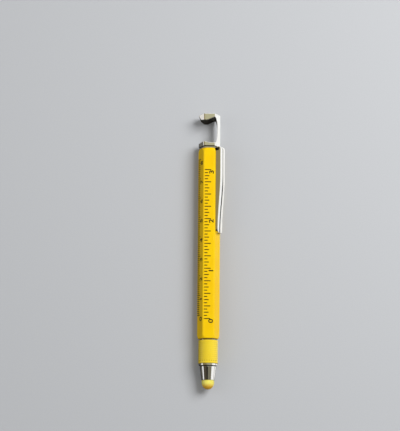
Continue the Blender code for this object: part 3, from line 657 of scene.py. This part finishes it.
def make_clip():
    """The channel's section, carried along the arm's line.

    Along the line, the place and height of the section's outer middle, its
    inward direction, width and depth are arrays. The line is a quarter circle
    at the bend, then runs down with a cosine ease from full rise to the tip's.
    The outer face is crowned: it rises by 1 - x squared from side to side. The
    channel is filled at the tip, and its inside is marked for painted shade.
    """
    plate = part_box("clip_plate")[1].y
    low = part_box("clip_arm")[0].y
    arc = round_points(np.linspace(0, np.pi / 2, 13))
    bend = (plate - CLIP_BEND, CLIP_RISE - CLIP_BEND) + CLIP_BEND * arc
    wall_top = barrel_high.y - WALL_START
    share = np.linspace(0, 1, 64)
    eased = np.clip((share - EASE_START_share) / (1 - EASE_START_share), 0, 1)
    rise = CLIP_RISE - (CLIP_RISE - CLIP_TIP_RISE) * (1 - np.cos(np.pi * eased)) / 2
    last = low + TIP_ROUND
    run = points_of(wall_top + (last - wall_top) * share, rise)
    turn = np.linspace(0, np.pi / 2, 9)[1:]
    tip = points_of(last - TIP_ROUND * np.sin(turn), CLIP_TIP_RISE)
    step_down = [(plate - CLIP_BEND - WALL_STEP, CLIP_RISE), (wall_top + WALL_STEP, CLIP_RISE)]
    line = np.concatenate([[(plate, CLIP_START)], bend, step_down, run, tip])
    bent = 1 + len(bend)
    walled = bent + len(step_down)
    filled = len(line) - len(tip) // 2
    inward = np.full_like(line, (0, -1))
    inward[0] = (-1, 0)
    inward[1:bent] = -arc
    depth = np.full(len(line), CLIP_SHEET + CLIP_LIP)
    depth[bent:walled] = WALL_TOP_DEPTH
    depth[walled:] = line[walled:, 1] - WALL_CLEARANCE
    half = np.full(len(line), CLIP_WIDTH / 2)
    half[-len(tip):] = CLIP_WIDTH * (1 + np.cos(turn)) / 4
    inner = half - CLIP_SHEET
    sheet = np.full_like(half, CLIP_SHEET)
    sheet[filled:] = depth[filled:] - CLIP_LIP
    section = np.stack([points_of(*pair) for pair in (
        (-half, 0), (half, 0), (half, depth), (inner, depth),
        (inner, sheet), (-inner, sheet), (-inner, depth), (-half, depth))], axis=1)
    hem = np.minimum(CLIP_HEM, (depth - sheet) * CLIP_HEM_share)
    shoulder = np.minimum(CLIP_SHOULDER, depth * CLIP_SHOULDER_share)
    outline = rounded(section, points_of(*[shoulder] * 2, *[hem] * 6), steps=4)
    corner = outline.shape[1] // 8
    start, end = outline[:, corner - 1:corner], outline[:, corner:corner + 1]
    face = start + (end - start) * np.linspace(0, 1, 12)[1:-1, None]
    outline = np.concatenate([outline[:, :corner], face, outline[:, corner:]], axis=1)
    near_top = np.clip(1 - outline[..., 1] / CROWN_DEPTH, 0, 1)
    crown = CLIP_CROWN * np.minimum(np.arange(len(line)) / bent, 1)[:, None]
    outline[..., 1] -= crown * (1 - (outline[..., 0] / (CLIP_WIDTH / 2)) ** 2) * near_top
    relief = np.zeros(outline.shape[:2])
    inside = face.shape[1] + 3 * corner + corner // 2
    relief[:, inside:inside + 3 * corner + 1] = -1
    carried = line[:, None] + inward[:, None] * outline[..., 1:]
    grid = np.concatenate([outline[..., :1], carried], axis=-1)
    return skin("clip_spring", on_face(CLIP_FACE, grid), caps=True, relief=relief)


def make_clip_foot():
    """A pressed half egg: circles of radius r cos t, lowered by h sin t."""
    turn = np.linspace(0, np.pi / 2, 10)
    circles = np.multiply.outer(FOOT_RADIUS * np.cos(turn), round_points(full_turn(32)))
    height = WALL_CLEARANCE + FOOT_HEIGHT * (1 - np.sin(turn))
    grid = points_of(circles[..., 0], circles[..., 1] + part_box("clip_arm")[0].y + FOOT_FROM_TIP,
                     height[:, None])
    return skin("clip_foot", on_face(CLIP_FACE, grid), caps=True)


dress(make_clip(), chrome, "clip", "chrome_plate", "clip_arm")
dress(make_clip_foot(), chrome, "clip", "chrome_plate")


# Bottle opener: a cast hexagonal head with a slot milled through it, which
# leaves a beak, a stem and a tooth. It is chromed, with softened edges.
HEAD_CORNER = 1.2 * MM
HEAD_BASE = 1.7 * MM
TOOTH_HEIGHT = 0.55 * MM
LIP_THICKNESS = 3.4 * MM
BAR_THICKNESS = 1.8 * MM
STEM_THICKNESS = 1.65 * MM
STEM_BOW = 0.6 * MM
SLOT_FILLET = 1.0 * MM
END_SOFTNESS = 0.2 * MM
SLOT_SOFTNESS = 0.22 * MM
RIM_BAND = 0.1 * MM
MOUTH_RISE = 0.1 * MM
TOOTH_shares = (-0.60, -0.31, -0.08)
TOOTH_ROUNDS = (0.1 * MM, 0.25 * MM, 0.25 * MM, 0.4 * MM, 0.1 * MM)
BEAK_shares = ((-0.97, 0.90), (-0.77, 0.18), (-0.45, 0.0), (-0.16, 0.02))
BEAK_ROUNDS = (0.1 * MM, 0.15 * MM, 0.5 * MM, 0.5 * MM, 1.2 * MM, 0.1 * MM)
head_low, head_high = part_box("opener_head")


def softened(distance, radius):
    """How far a round edge of a radius lies below a surface, by the distance."""
    inside = radius - np.minimum(distance, radius)
    return radius - np.sqrt(np.maximum(radius ** 2 - inside ** 2, 0))


def make_opener():
    """A C shaped band between the slot's line and the head's outline.

    The band is a grid: s runs along the C, t across it from slot to outside.
    Its upper side lies at the hexagon's height over (x, y), less the rounding
    of the near edges, and its lower side mirrors that.
    """
    half = (head_high.z - head_low.z) / 2 / math.cos(math.radians(30))
    side = head_high.x
    floor_line = head_low.y + HEAD_BASE
    lip = head_high.y - LIP_THICKNESS
    roof = head_high.y - BAR_THICKNESS
    wall = half - STEM_THICKNESS - STEM_BOW
    bend = wall - SLOT_FILLET
    beak = [(half * along, lip + LIP_THICKNESS * up) for along, up in BEAK_shares]
    upper = rounded([(-half, head_high.y), *beak, (bend, roof)], BEAK_ROUNDS, closed=False)
    mouth, crest, foot = [half * share for share in TOOTH_shares]
    tooth = floor_line + TOOTH_HEIGHT
    lower = rounded([(-half, floor_line + MOUTH_RISE), (mouth, tooth), (crest, tooth), (foot, floor_line),
                     (bend, floor_line)], TOOTH_ROUNDS, closed=False)
    bar_x = np.linspace(-side, bend, 72)
    turn = np.linspace(0, np.pi / 2, 17)
    arc = points_of(bend + SLOT_FILLET * np.sin(turn), roof - SLOT_FILLET * (1 - np.cos(turn)))
    share = np.linspace(1, 0, 42)[1:-1]
    stem_low, stem_high = floor_line + SLOT_FILLET, roof - SLOT_FILLET
    stem = points_of(wall + STEM_BOW * (1 - np.abs(2 * share - 1) ** 3),
                     stem_low + (stem_high - stem_low) * share)
    slot = np.concatenate([points_of(bar_x, np.interp(bar_x, upper[:, 0], upper[:, 1]))[:-1], arc, stem,
                           points_of(arc[:, 0], floor_line + roof - arc[:, 1])[::-1],
                           points_of(bar_x, np.interp(bar_x, lower[:, 0], lower[:, 1]))[-2::-1]])
    way = np.linspace(0, 2, 17)
    turn_x = bend + (side - bend) * np.minimum(way, 1)
    turn_high = head_high.y - (head_high.y - stem_high) * np.maximum(way - 1, 0)
    turn_low = head_low.y + (stem_low - head_low.y) * np.maximum(way - 1, 0)
    outside = np.concatenate([points_of(bar_x, head_high.y)[:-1], points_of(turn_x, turn_high),
                              points_of(side, stem[:, 1]), points_of(turn_x, turn_low)[::-1],
                              points_of(bar_x, head_low.y)[-2::-1]])
    width = np.linalg.norm(outside - slot, axis=-1)[:, None]
    eased = 1 - np.cos(np.linspace(0, np.pi / 2, 6))
    middle = np.linspace(0, 1, 18)[1:-1]
    distance = np.concatenate([np.tile(SLOT_SOFTNESS * eased, (len(slot), 1)),
                               SLOT_SOFTNESS + (width - SLOT_SOFTNESS - END_SOFTNESS) * middle,
                               width - END_SOFTNESS * eased[::-1]], axis=1)
    plan = slot[:, None] + (outside - slot)[:, None] * (distance / width)[..., None]
    outline = hexagon(head_high.z - head_low.z, HEAD_CORNER)
    top = outline[outline[:, 1] >= 0]
    top = top[np.argsort(top[:, 0])]
    height = np.interp(plan[..., 0], top[:, 0], top[:, 1])
    end = np.minimum(head_high.y - plan[..., 1], plan[..., 1] - head_low.y)
    height = np.maximum(height - softened(distance, SLOT_SOFTNESS) - softened(end, END_SOFTNESS), 0)
    rim = np.maximum(height[:, -1:] - RIM_BAND, 0)
    inner = np.maximum(height[:, :1] - RIM_BAND, 0)
    far, near = plan[:, -1:], plan[:, :1]
    round_plan = np.concatenate([plan, far, far, plan[:, ::-1], near, near], axis=1)
    round_height = np.concatenate([height, rim, -rim, -height[:, ::-1], -inner, inner], axis=1)
    return skin("bottle_opener", np.concatenate([round_plan, AXIS + round_height[..., None]], axis=-1))


dress(make_opener(), chrome, "opener", "chrome_plate", "opener_head")


# Bit holder: a turned steel head on a hexagonal shank, joined to the opener
# by a stud. A rubber ring in its groove grips the bushing; a magnet sits inside.
HOLDER_FLATS = 5.9 * MM
HOLDER_HEAD_LENGTH = 3.0 * MM
HOLDER_CORNER = 0.3 * MM
HOLDER_EDGE = 0.15 * MM
HEAD_EDGE = 0.1 * MM
SOCKET_FLATS = 4.1 * MM
SOCKET_DEPTH = 7.0 * MM
POINT_BORE = 1.65 * MM
STUD_HOLE = 1.35 * MM
SEAL_SECTION = 0.8 * MM
SEAL_SIDE_GAP = 0.08 * MM
SEAL_BED_GAP = 0.1 * MM
DRAWN_shares = (1.0, 0.05, 1.0)
TURNED_shares = (0.1, 1.0, 0.1)


def make_steel(name, colour, line_shares):
    """Machined steel, with fine lines drawn along or turned round the axis."""
    look = finish(name, {"Metallic": 1.0})
    line = grain(look, 0.5 * MM, line_shares)
    stain = grain(look, 3 * MM)
    darker = tuple(0.8 * value for value in colour[:3]) + (1.0,)
    look.fill(look.shader, {"Base Color": stain.step(0.3, 0.7).between(colour, darker),
                            "Roughness": 0.2 + line * 0.18, "Normal": look.bump(line, 0.01 * MM)})
    return look


def ring_section(profile, steps=96):
    """A closed profile of (radius, place), spun round the pen's axis."""
    return stacked(np.multiply.outer(profile[:, 0], round_points(full_turn(steps))), profile[:, 1])


def make_seal_ring(name, node, section):
    """A rubber ring: a circle of the section's size, spun round the axis."""
    low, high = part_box(node)
    profile = (high.x - section / 2, (low.y + high.y) / 2) + section / 2 * round_points(full_turn(20))
    return skin(name, ring_section(profile, 64), loop=True)


def make_holder():
    """Outlines out of the socket, along the outside and into the stud's hole.

    Each is the shank's hexagon times a share, or a circle of a radius whose
    points lie in the hexagon's directions.
    """
    low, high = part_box("bit_holder")
    seal_low, seal_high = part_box("holder_seal")
    head = (high.z - low.z) / 2
    head_end = high.y - HOLDER_HEAD_LENGTH
    groove = (seal_low.y + seal_high.y) / 2
    gap = SEAL_SECTION / 2 + SEAL_SIDE_GAP
    neck = seal_high.x - SEAL_SECTION - SEAL_BED_GAP
    shank = divided(hexagon(HOLDER_FLATS, HOLDER_CORNER), 8)
    reach = np.linalg.norm(shank, axis=-1, keepdims=True)
    circle = shank / reach
    turned_down = shank * np.minimum(1, (head - HOLDER_EDGE) / reach)
    socket = SOCKET_FLATS / HOLDER_FLATS
    edge = 2 * HOLDER_EDGE / HOLDER_FLATS
    socket_end = low.y + SOCKET_DEPTH
    sides = [(circle * POINT_BORE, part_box("bit_magnet")[1].y), (circle * POINT_BORE, socket_end),
             (shank * socket, socket_end), (shank * socket, low.y + HOLDER_EDGE),
             (shank * (socket + edge), low.y), (shank * (1 - edge), low.y),
             (shank, low.y + HOLDER_EDGE), (shank, head_end - 2 * HOLDER_EDGE), (turned_down, head_end)]
    line = rounded([(neck, head_end), (head, head_end), (head, groove - gap), (neck, groove - gap),
                    (neck, groove + gap), (head, groove + gap), (head, high.y), (STUD_HOLE, high.y),
                    (STUD_HOLE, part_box("opener_stud")[0].y)], HEAD_EDGE, 3, closed=False)
    outlines, places = zip(*sides, *[(circle * radius, place) for radius, place in line[1:]])
    return skin("holder_body", stacked(np.array(outlines), places), caps=True)


steel = make_steel("tool_steel", tone(176, 176, 178), DRAWN_shares)
turned_steel = make_steel("turned_steel", tone(190, 190, 190), TURNED_shares)
seal_rubber = make_plastic("seal_rubber", tone(16, 16, 16), tone(28, 28, 28), 0.55)
dress(make_holder(), steel, "opener", "tool_steel", "bit_holder")
coat("opener_stud", turned_steel)
coat("bit_magnet", turned_steel)
dress(make_seal_ring("holder_ring", "holder_seal", SEAL_SECTION), seal_rubber, "opener", "seal_rubber",
      "holder_seal")


# Screwdriver bit: hexagonal bar with both ends turned down, one ground to a
# slotted blade and the other milled to a cross point.
BIT_FLATS = 4.0 * MM
BIT_CORNER_share = 0.97
BIT_EDGE = 0.1 * MM
BIT_NECK = 1.6 * MM
BIT_TIP_LENGTH = 7.5 * MM
BIT_FORM_LENGTH = 3.6 * MM
BLADE_THICKNESS = 0.6 * MM
CROSS_END = 0.45 * MM
CROSS_DEPTH_share = 0.45


def make_bit():
    """The radius at a turn t and a place y, on a grid of both.

    It is the smaller of the hexagon's radius and the turned profile's. The
    cross's flutes draw it in by a cosine of four turns, and two flats cut the
    blade, closing from the neck's width to the blade's.
    """
    low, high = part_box("screwdriver_bit")
    shoulder = BIT_FLATS - 2 * BIT_NECK
    turn = full_turn(144)
    hexagonal = BIT_FLATS / 2 / np.cos(turn % (np.pi / 3) - np.pi / 6)
    hex_low, hex_high = low.y + BIT_TIP_LENGTH, high.y - BIT_TIP_LENGTH
    corner = BIT_FLATS / 2 / math.cos(math.radians(30)) * BIT_CORNER_share
    profile = rounded([(0, low.y), (BIT_NECK, low.y), (BIT_NECK, hex_low), (corner, hex_low + shoulder),
                       (corner, hex_high - shoulder), (BIT_NECK, hex_high),
                       (BIT_NECK, high.y - BIT_FORM_LENGTH), (CROSS_END, high.y), (0, high.y)],
                      BIT_EDGE, 3, closed=False)
    place = np.unique(np.concatenate([profile[:, 1], np.linspace(low.y, high.y, 180)]))
    bound = np.interp(place, profile[1:-1, 1], profile[1:-1, 0])
    radius = np.minimum(bound[:, None], hexagonal)
    point = np.clip((place - high.y + BIT_FORM_LENGTH) / BIT_FORM_LENGTH, 0, 1)
    flute = (1 - np.cos(4 * turn)) / 2
    radius = radius * (1 - CROSS_DEPTH_share * np.minimum(2 * point, 1)[:, None] * flute)
    x, z = radius * np.cos(turn), radius * np.sin(turn)
    ground = np.clip((low.y + BIT_FORM_LENGTH - place) / BIT_FORM_LENGTH, 0, 1)
    limit = (BIT_NECK + (BLADE_THICKNESS / 2 - BIT_NECK) * np.sqrt(ground))[:, None]
    z = np.where(ground[:, None] > 0, np.clip(z, -limit, limit), z)
    return skin("driver_bit", stacked(points_of(x, z), place), caps=True)


dress(make_bit(), steel, "bit", "tool_steel", "screwdriver_bit")


# Grip ring: a thin chromed washer between barrel and grip, which turns with
# the grip as it screws out of the brass insert in the barrel.
RING_EDGE = 0.12 * MM
RING_BORE = 3.2 * MM
RING_SETBACK = 0.2 * MM


def turned(name, corners, edge):
    """A piece turned on a lathe: corners of (radius, place) with soft edges.

    A line that starts on the axis also ends there; any other closes on itself.
    """
    closed = corners[0][0] > 0
    return skin(name, ring_section(rounded(corners, edge, 4, closed)), loop=closed)


def make_brass():
    """Brass with lines from the turning tool, darker at the thread's root."""
    look = finish("turned_brass", {"Metallic": 1.0})
    tool_line = grain(look, 0.3 * MM, TURNED_shares)
    colour = grain(look, 2 * MM).step(0.3, 0.7).between(tone(214, 178, 98), tone(190, 150, 74))
    root_darkened = (0 - look.relief()).step(0.3, 1.0).between(colour, tone(120, 88, 40))
    look.fill(look.shader, {"Base Color": root_darkened, "Roughness": 0.18 + tool_line * 0.2,
                            "Normal": look.bump(tool_line, 0.01 * MM)})
    return look


brass = make_brass()
low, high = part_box("grip_ring")
# The washer's chrome is painted darker, as shade where it sits sunk between barrel and collar.
shaded_ring_chrome = make_chrome("shaded_ring_chrome", tone(166, 164, 156), tone(146, 143, 134))
rim = high.x - RING_SETBACK
grip_ring = turned("grip_washer", [(RING_BORE, low.y), (rim, low.y), (rim, high.y), (RING_BORE, high.y)],
                   RING_EDGE)
dress(grip_ring, shaded_ring_chrome, "ring", "chrome_plate", "grip_ring")
coat("thread_insert", brass)


# Grip collar: a turned sleeve with fine ribs and a row of small dimples above
# its lower rim, sprayed in the barrel's yellow but with less gloss.
COLLAR_BORE = 3.9 * MM
RIB_COUNT = 10
RIB_PITCH = 1.0 * MM
RIB_DEPTH = 0.05 * MM
GROOVE_WIDTH = 0.45 * MM
GROOVE_SHADE_share = 0.2
DIMPLE_COUNT = 26
DIMPLE_WIDTH = 0.7 * MM
DIMPLE_DEPTH = 0.16 * MM
DIMPLE_PLACE = 1.25 * MM


def make_collar():
    """The collar's radius at a turn t and a place y, on a grid of both.

    Each groove takes off depth * cos squared across its width, each dimple
    the same along both directions, and each end is rounded off.
    """
    low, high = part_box("grip_collar")
    radius = high.x
    eased = RIB_DEPTH * (1 - np.cos(np.linspace(0, np.pi / 2, 5)))
    place = np.concatenate([low.y + eased, np.linspace(low.y + RIB_DEPTH, high.y - RIB_DEPTH, 300)[1:-1],
                            high.y - eased[::-1]])
    first = (low.y + high.y - RIB_PITCH * (RIB_COUNT - 1)) / 2
    off = (place - first + RIB_PITCH / 2) % RIB_PITCH - RIB_PITCH / 2
    cut = np.abs(off) < GROOVE_WIDTH / 2
    cut &= (place > first - RIB_PITCH / 2) & (place < first + RIB_PITCH * (RIB_COUNT - 0.5))
    groove = np.where(cut, np.cos(np.pi * off / GROOVE_WIDTH) ** 2, 0)
    end = softened(np.minimum(place - low.y, high.y - place), RIB_DEPTH)
    turn = full_turn(288)
    arc_gap = 2 * np.pi / DIMPLE_COUNT
    sideways = ((turn + arc_gap / 2) % arc_gap - arc_gap / 2) * radius
    along = place - low.y - DIMPLE_PLACE
    nearness = np.clip(1 - np.hypot(sideways[None, :], along[:, None]) / (DIMPLE_WIDTH / 2), 0, 1)
    dimple = np.sin(nearness * np.pi / 2) ** 2
    outside = radius - end[:, None] - np.maximum(RIB_DEPTH * groove[:, None], DIMPLE_DEPTH * dimple)
    reach = np.concatenate([outside, np.full((2, len(turn)), COLLAR_BORE)])
    grid = stacked(reach[..., None] * round_points(turn), [*place, high.y, low.y])
    relief = np.zeros(grid.shape[:2])
    # The grooves and the dimples are marked for painted shade.
    relief[:len(place)] = -np.maximum(GROOVE_SHADE_share * groove[:, None], dimple)
    return skin("ribbed_collar", grid, loop=True, relief=relief)


def make_grip_lacquer():
    """Satin lacquer, with painted shade in the grooves and in the dimples."""
    look = finish("grip_lacquer", {"Coat Weight": 0.6, "Coat Roughness": 0.22, "Specular IOR Level": 0.6})
    speck = grain(look, 0.3 * MM)
    colour = grain(look, 5 * MM).between(tone(252, 222, 40), tone(248, 214, 32))
    # Painted shade: the colour darkens in the grooves and in the dimples.
    shaded_colour = ((0 - look.relief()) * 0.85).between(colour, tone(110, 80, 10))
    look.fill(look.shader, {"Base Color": shaded_colour, "Roughness": 0.38 + speck * 0.14,
                            "Normal": look.bump(speck, 0.02 * MM)})
    return look


dress(make_collar(), make_grip_lacquer(), "grip", "yellow_grip", "grip_collar")


# Grip core, nose and refill: a brass tube with a two start thread behind the
# collar and a spigot in front, a chromed nose, and a slim metal refill.
THREAD_RADIUS = 3.05 * MM
THREAD_DEPTH = 0.25 * MM
THREAD_LEAD = 1.5 * MM
THREAD_STARTS = 2
THREAD_LEAD_IN = 0.2 * MM
THREAD_RELIEF = 0.1 * MM
THREAD_RUNOUT = 0.8 * MM
THREAD_CHAMFER = 0.15 * MM
RIDGE_SLOPE = 1.6
RIDGE_ROOT_share = 0.3
CORE_EDGE = 0.06 * MM
SEAT_RADIUS = 3.75 * MM
SPIGOT_RADIUS = 2.6 * MM
CORE_BORE = 2.1 * MM
CORE_FRONT_BORE = 1.4 * MM
CORE_FRONT_WALL = 3.0 * MM
CAP_SEAL_SECTION = 0.5 * MM
NOSE_EDGE = 0.12 * MM
NOSE_FRONT = 1.45 * MM
NOSE_BORE = 1.3 * MM
NOSE_MOUTH = 1.1 * MM
NOSE_MOUTH_DEPTH = 1.6 * MM
NOSE_CONE_DEPTH = 2.0 * MM
TIP_EDGE = 0.04 * MM
TIP_RADIUS = 0.95 * MM
TIP_FRONT = 0.42 * MM
TIP_TAPER_START = 0.3 * MM
TIP_STEM = 0.6 * MM
TIP_STEM_START = 4.0 * MM
BALL_RADIUS = 0.35 * MM


def make_core():
    """A turned profile, with a thread cut into its rows behind the collar.

    The thread's depth at a turn t and a place y is a soft ridge of the phase
    starts * (y / lead + t / full turn), which winds to the right.
    """
    low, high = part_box("grip_core")
    collar_low, collar_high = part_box("grip_collar")
    seal_low, seal_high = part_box("cap_seal")
    groove = (seal_low.y + seal_high.y) / 2
    gap = CAP_SEAL_SECTION / 2 + SEAL_SIDE_GAP
    neck = SPIGOT_RADIUS - CAP_SEAL_SECTION - SEAL_BED_GAP
    wall = low.y + CORE_FRONT_WALL
    thread = np.linspace(high.y - THREAD_LEAD_IN, collar_high.y + THREAD_RELIEF, 190)
    front = rounded([(THREAD_RADIUS, thread[-1]), (THREAD_RADIUS, collar_high.y),
                     (SEAT_RADIUS, collar_high.y), (SEAT_RADIUS, collar_low.y),
                     (SPIGOT_RADIUS, collar_low.y), (SPIGOT_RADIUS, groove + gap), (neck, groove + gap),
                     (neck, groove - gap), (SPIGOT_RADIUS, groove - gap), (SPIGOT_RADIUS, low.y),
                     (CORE_FRONT_BORE, low.y), (CORE_FRONT_BORE, wall), (CORE_BORE, wall),
                     (CORE_BORE, high.y), (THREAD_RADIUS - THREAD_CHAMFER, high.y)],
                    CORE_EDGE, 3, closed=False)
    profile = np.concatenate([points_of(THREAD_RADIUS, thread), front])
    turn = full_turn(96)
    phase = THREAD_STARTS * (thread[:, None] / THREAD_LEAD + turn / (2 * np.pi))
    ridge = np.clip(RIDGE_SLOPE * np.abs(2 * (phase % 1) - 1) - RIDGE_ROOT_share, 0, 1)
    cut = (1 - ridge) * np.clip((thread - thread[-1]) / THREAD_RUNOUT, 0, 1)[:, None]
    radius = np.tile(profile[:, :1], len(turn))
    radius[:len(thread)] -= THREAD_DEPTH * cut
    relief = np.zeros_like(radius)
    relief[:len(thread)] = -cut
    return skin("threaded_core", stacked(radius[..., None] * round_points(turn), profile[:, 1]), loop=True,
                relief=relief)


dress(make_core(), brass, "grip", "turned_brass", "grip_core")
dress(make_seal_ring("spigot_ring", "cap_seal", CAP_SEAL_SECTION), seal_rubber, "grip", "seal_rubber",
      "cap_seal")
nose_low, nose_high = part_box("writing_nose")
nose = turned("pen_nose", [(NOSE_BORE, nose_high.y), (nose_high.x, nose_high.y), (NOSE_FRONT, nose_low.y),
                           (NOSE_MOUTH, nose_low.y), (NOSE_MOUTH, nose_low.y + NOSE_MOUTH_DEPTH),
                           (NOSE_BORE, nose_low.y + NOSE_CONE_DEPTH)], NOSE_EDGE)
dress(nose, chrome, "grip", "chrome_plate", "writing_nose")
tip_low, tip_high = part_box("refill_tip")
stem_start = nose_low.y + TIP_STEM_START
tip = turned("brass_tip", [(0, tip_high.y), (TIP_STEM, tip_high.y), (TIP_STEM, stem_start),
                           (TIP_RADIUS, stem_start), (TIP_RADIUS, nose_low.y - TIP_TAPER_START),
                           (TIP_FRONT, tip_low.y), (0, tip_low.y)], TIP_EDGE)
dress(tip, brass, "grip", "turned_brass", "refill_tip")
low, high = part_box("refill_ball")
arc = round_points(np.linspace(-np.pi / 2, np.pi / 2, 15))
ball_line = (0, (low.y + high.y) / 2) + BALL_RADIUS * arc
dress(skin("tip_ball", ring_section(ball_line, 32)), steel, "grip", "tool_steel", "refill_ball")
coat("refill_tube", steel)
coat("refill_plug", black_plastic)
coat("refill_retainer", white_plastic)


# Stylus cap: a chromed ring and cone on a moulded liner that grips the
# spigot, and a soft rubber dome whose neck plugs into the cone.
CAP_BORE = 3.25 * MM
CONE_FRONT = 3.25 * MM
CONE_MOUTH = 2.75 * MM
CONE_LIP = 0.9 * MM
CONE_EDGE = 0.15 * MM
CAP_GAP = 0.1 * MM
BAND_EDGE = 0.12 * MM
GASKET = 0.3 * MM
GASKET_GAP = 0.02 * MM
LINER_WALL = 0.35 * MM
LINER_EDGE = 0.03 * MM
DOME_STRAIGHT = 1.2 * MM
DOME_HOLLOW = 1.95 * MM
DOME_CROWN = 1.1 * MM
DOME_EDGE = 0.25 * MM
DOME_NECK_GAP = 0.15 * MM
TIP_SHADE_REACH = (0.6 * MM, 3.2 * MM)
low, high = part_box("cap_ring")
band_low = low.y + GASKET
cap_ring = turned("cap_band", [(CAP_BORE, band_low), (high.x, band_low), (high.x, high.y),
                               (CAP_BORE, high.y)], BAND_EDGE)
dress(cap_ring, chrome, "stylus_cap", "chrome_plate", "cap_ring")
cone_low, cone_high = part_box("stylus_cone")
low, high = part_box("cap_liner")
bore = high.x - LINER_WALL
seat = low.y - CAP_GAP
gasket = cone_high.x - CAP_GAP
gasket_low, gasket_high = cone_high.y + GASKET_GAP, band_low - GASKET_GAP
liner = turned("cap_sleeve", [(bore, low.y), (high.x, low.y), (high.x, gasket_low),
                              (gasket, gasket_low), (gasket, gasket_high), (high.x, gasket_high),
                              (high.x, high.y), (bore, high.y)], LINER_EDGE)
dress(liner, black_plastic, "stylus_cap", "black_plastic", "cap_liner")
cone = turned("chrome_cone", [(CAP_BORE, cone_high.y), (cone_high.x, cone_high.y), (CONE_FRONT, cone_low.y),
                              (CONE_MOUTH, cone_low.y), (CONE_MOUTH, cone_low.y + CONE_LIP),
                              (CAP_BORE, seat)], CONE_EDGE)
dress(cone, chrome, "stylus_cap", "chrome_plate", "stylus_cone")


def make_dome():
    """A dome of revolution: an ellipse's quarter outside, a smaller one inside.

    Both are (r cos t, bend - depth sin t), and a neck joins them at the top.
    """
    low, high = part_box("stylus_dome")
    radius = high.x
    shoulder = cone_low.y - CAP_GAP
    bend = shoulder - DOME_STRAIGHT
    crown = bend - low.y
    quarter = round_points(np.linspace(0, np.pi / 2, 25))
    shell = (0, bend) + quarter * (radius, -crown)
    hollow = (0, bend) + quarter[::-1] * (DOME_HOLLOW, DOME_CROWN - crown)
    neck = CONE_MOUTH - DOME_NECK_GAP
    rim = rounded([(DOME_HOLLOW, bend), (DOME_HOLLOW, high.y), (neck, high.y), (neck, shoulder),
                   (radius, shoulder), (radius, bend)], DOME_EDGE, 4, closed=False)
    profile = np.concatenate([hollow[:-1], rim[:-1], shell])
    profile[[0, -1], 0] = 0
    return skin("rubber_dome", ring_section(profile))


def make_dome_rubber():
    """Silicone rubber, painted darker and more orange towards the tip as shade."""
    look = finish("dome_rubber", {"Specular IOR Level": 0.5, "Sheen Weight": 0.5, "Sheen Roughness": 0.6,
                                  "Sheen Tint": tone(255, 232, 130), "Subsurface Weight": 0.3,
                                  "Subsurface Radius": (1.0, 0.7, 0.2), "Subsurface Scale": 1.5 * MM})
    pore = grain(look, 0.12 * MM)
    smear = grain(look, 2 * MM)
    from_tip = look.place("Y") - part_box("stylus_dome")[0].y
    unshaded = smear.between(tone(255, 242, 118), tone(255, 234, 104))
    # Painted shade: the colour darkens and turns orange towards the tip.
    colour = from_tip.step(*TIP_SHADE_REACH).between(tone(232, 168, 10), unshaded)
    look.fill(look.shader, {"Base Color": colour, "Roughness": 0.5 + smear * 0.15,
                            "Normal": look.bump(pore, 0.02 * MM, strength=0.4)})
    return look


dress(make_dome(), make_dome_rubber(), "stylus_cap", "yellow_rubber", "stylus_dome")

low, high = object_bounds()
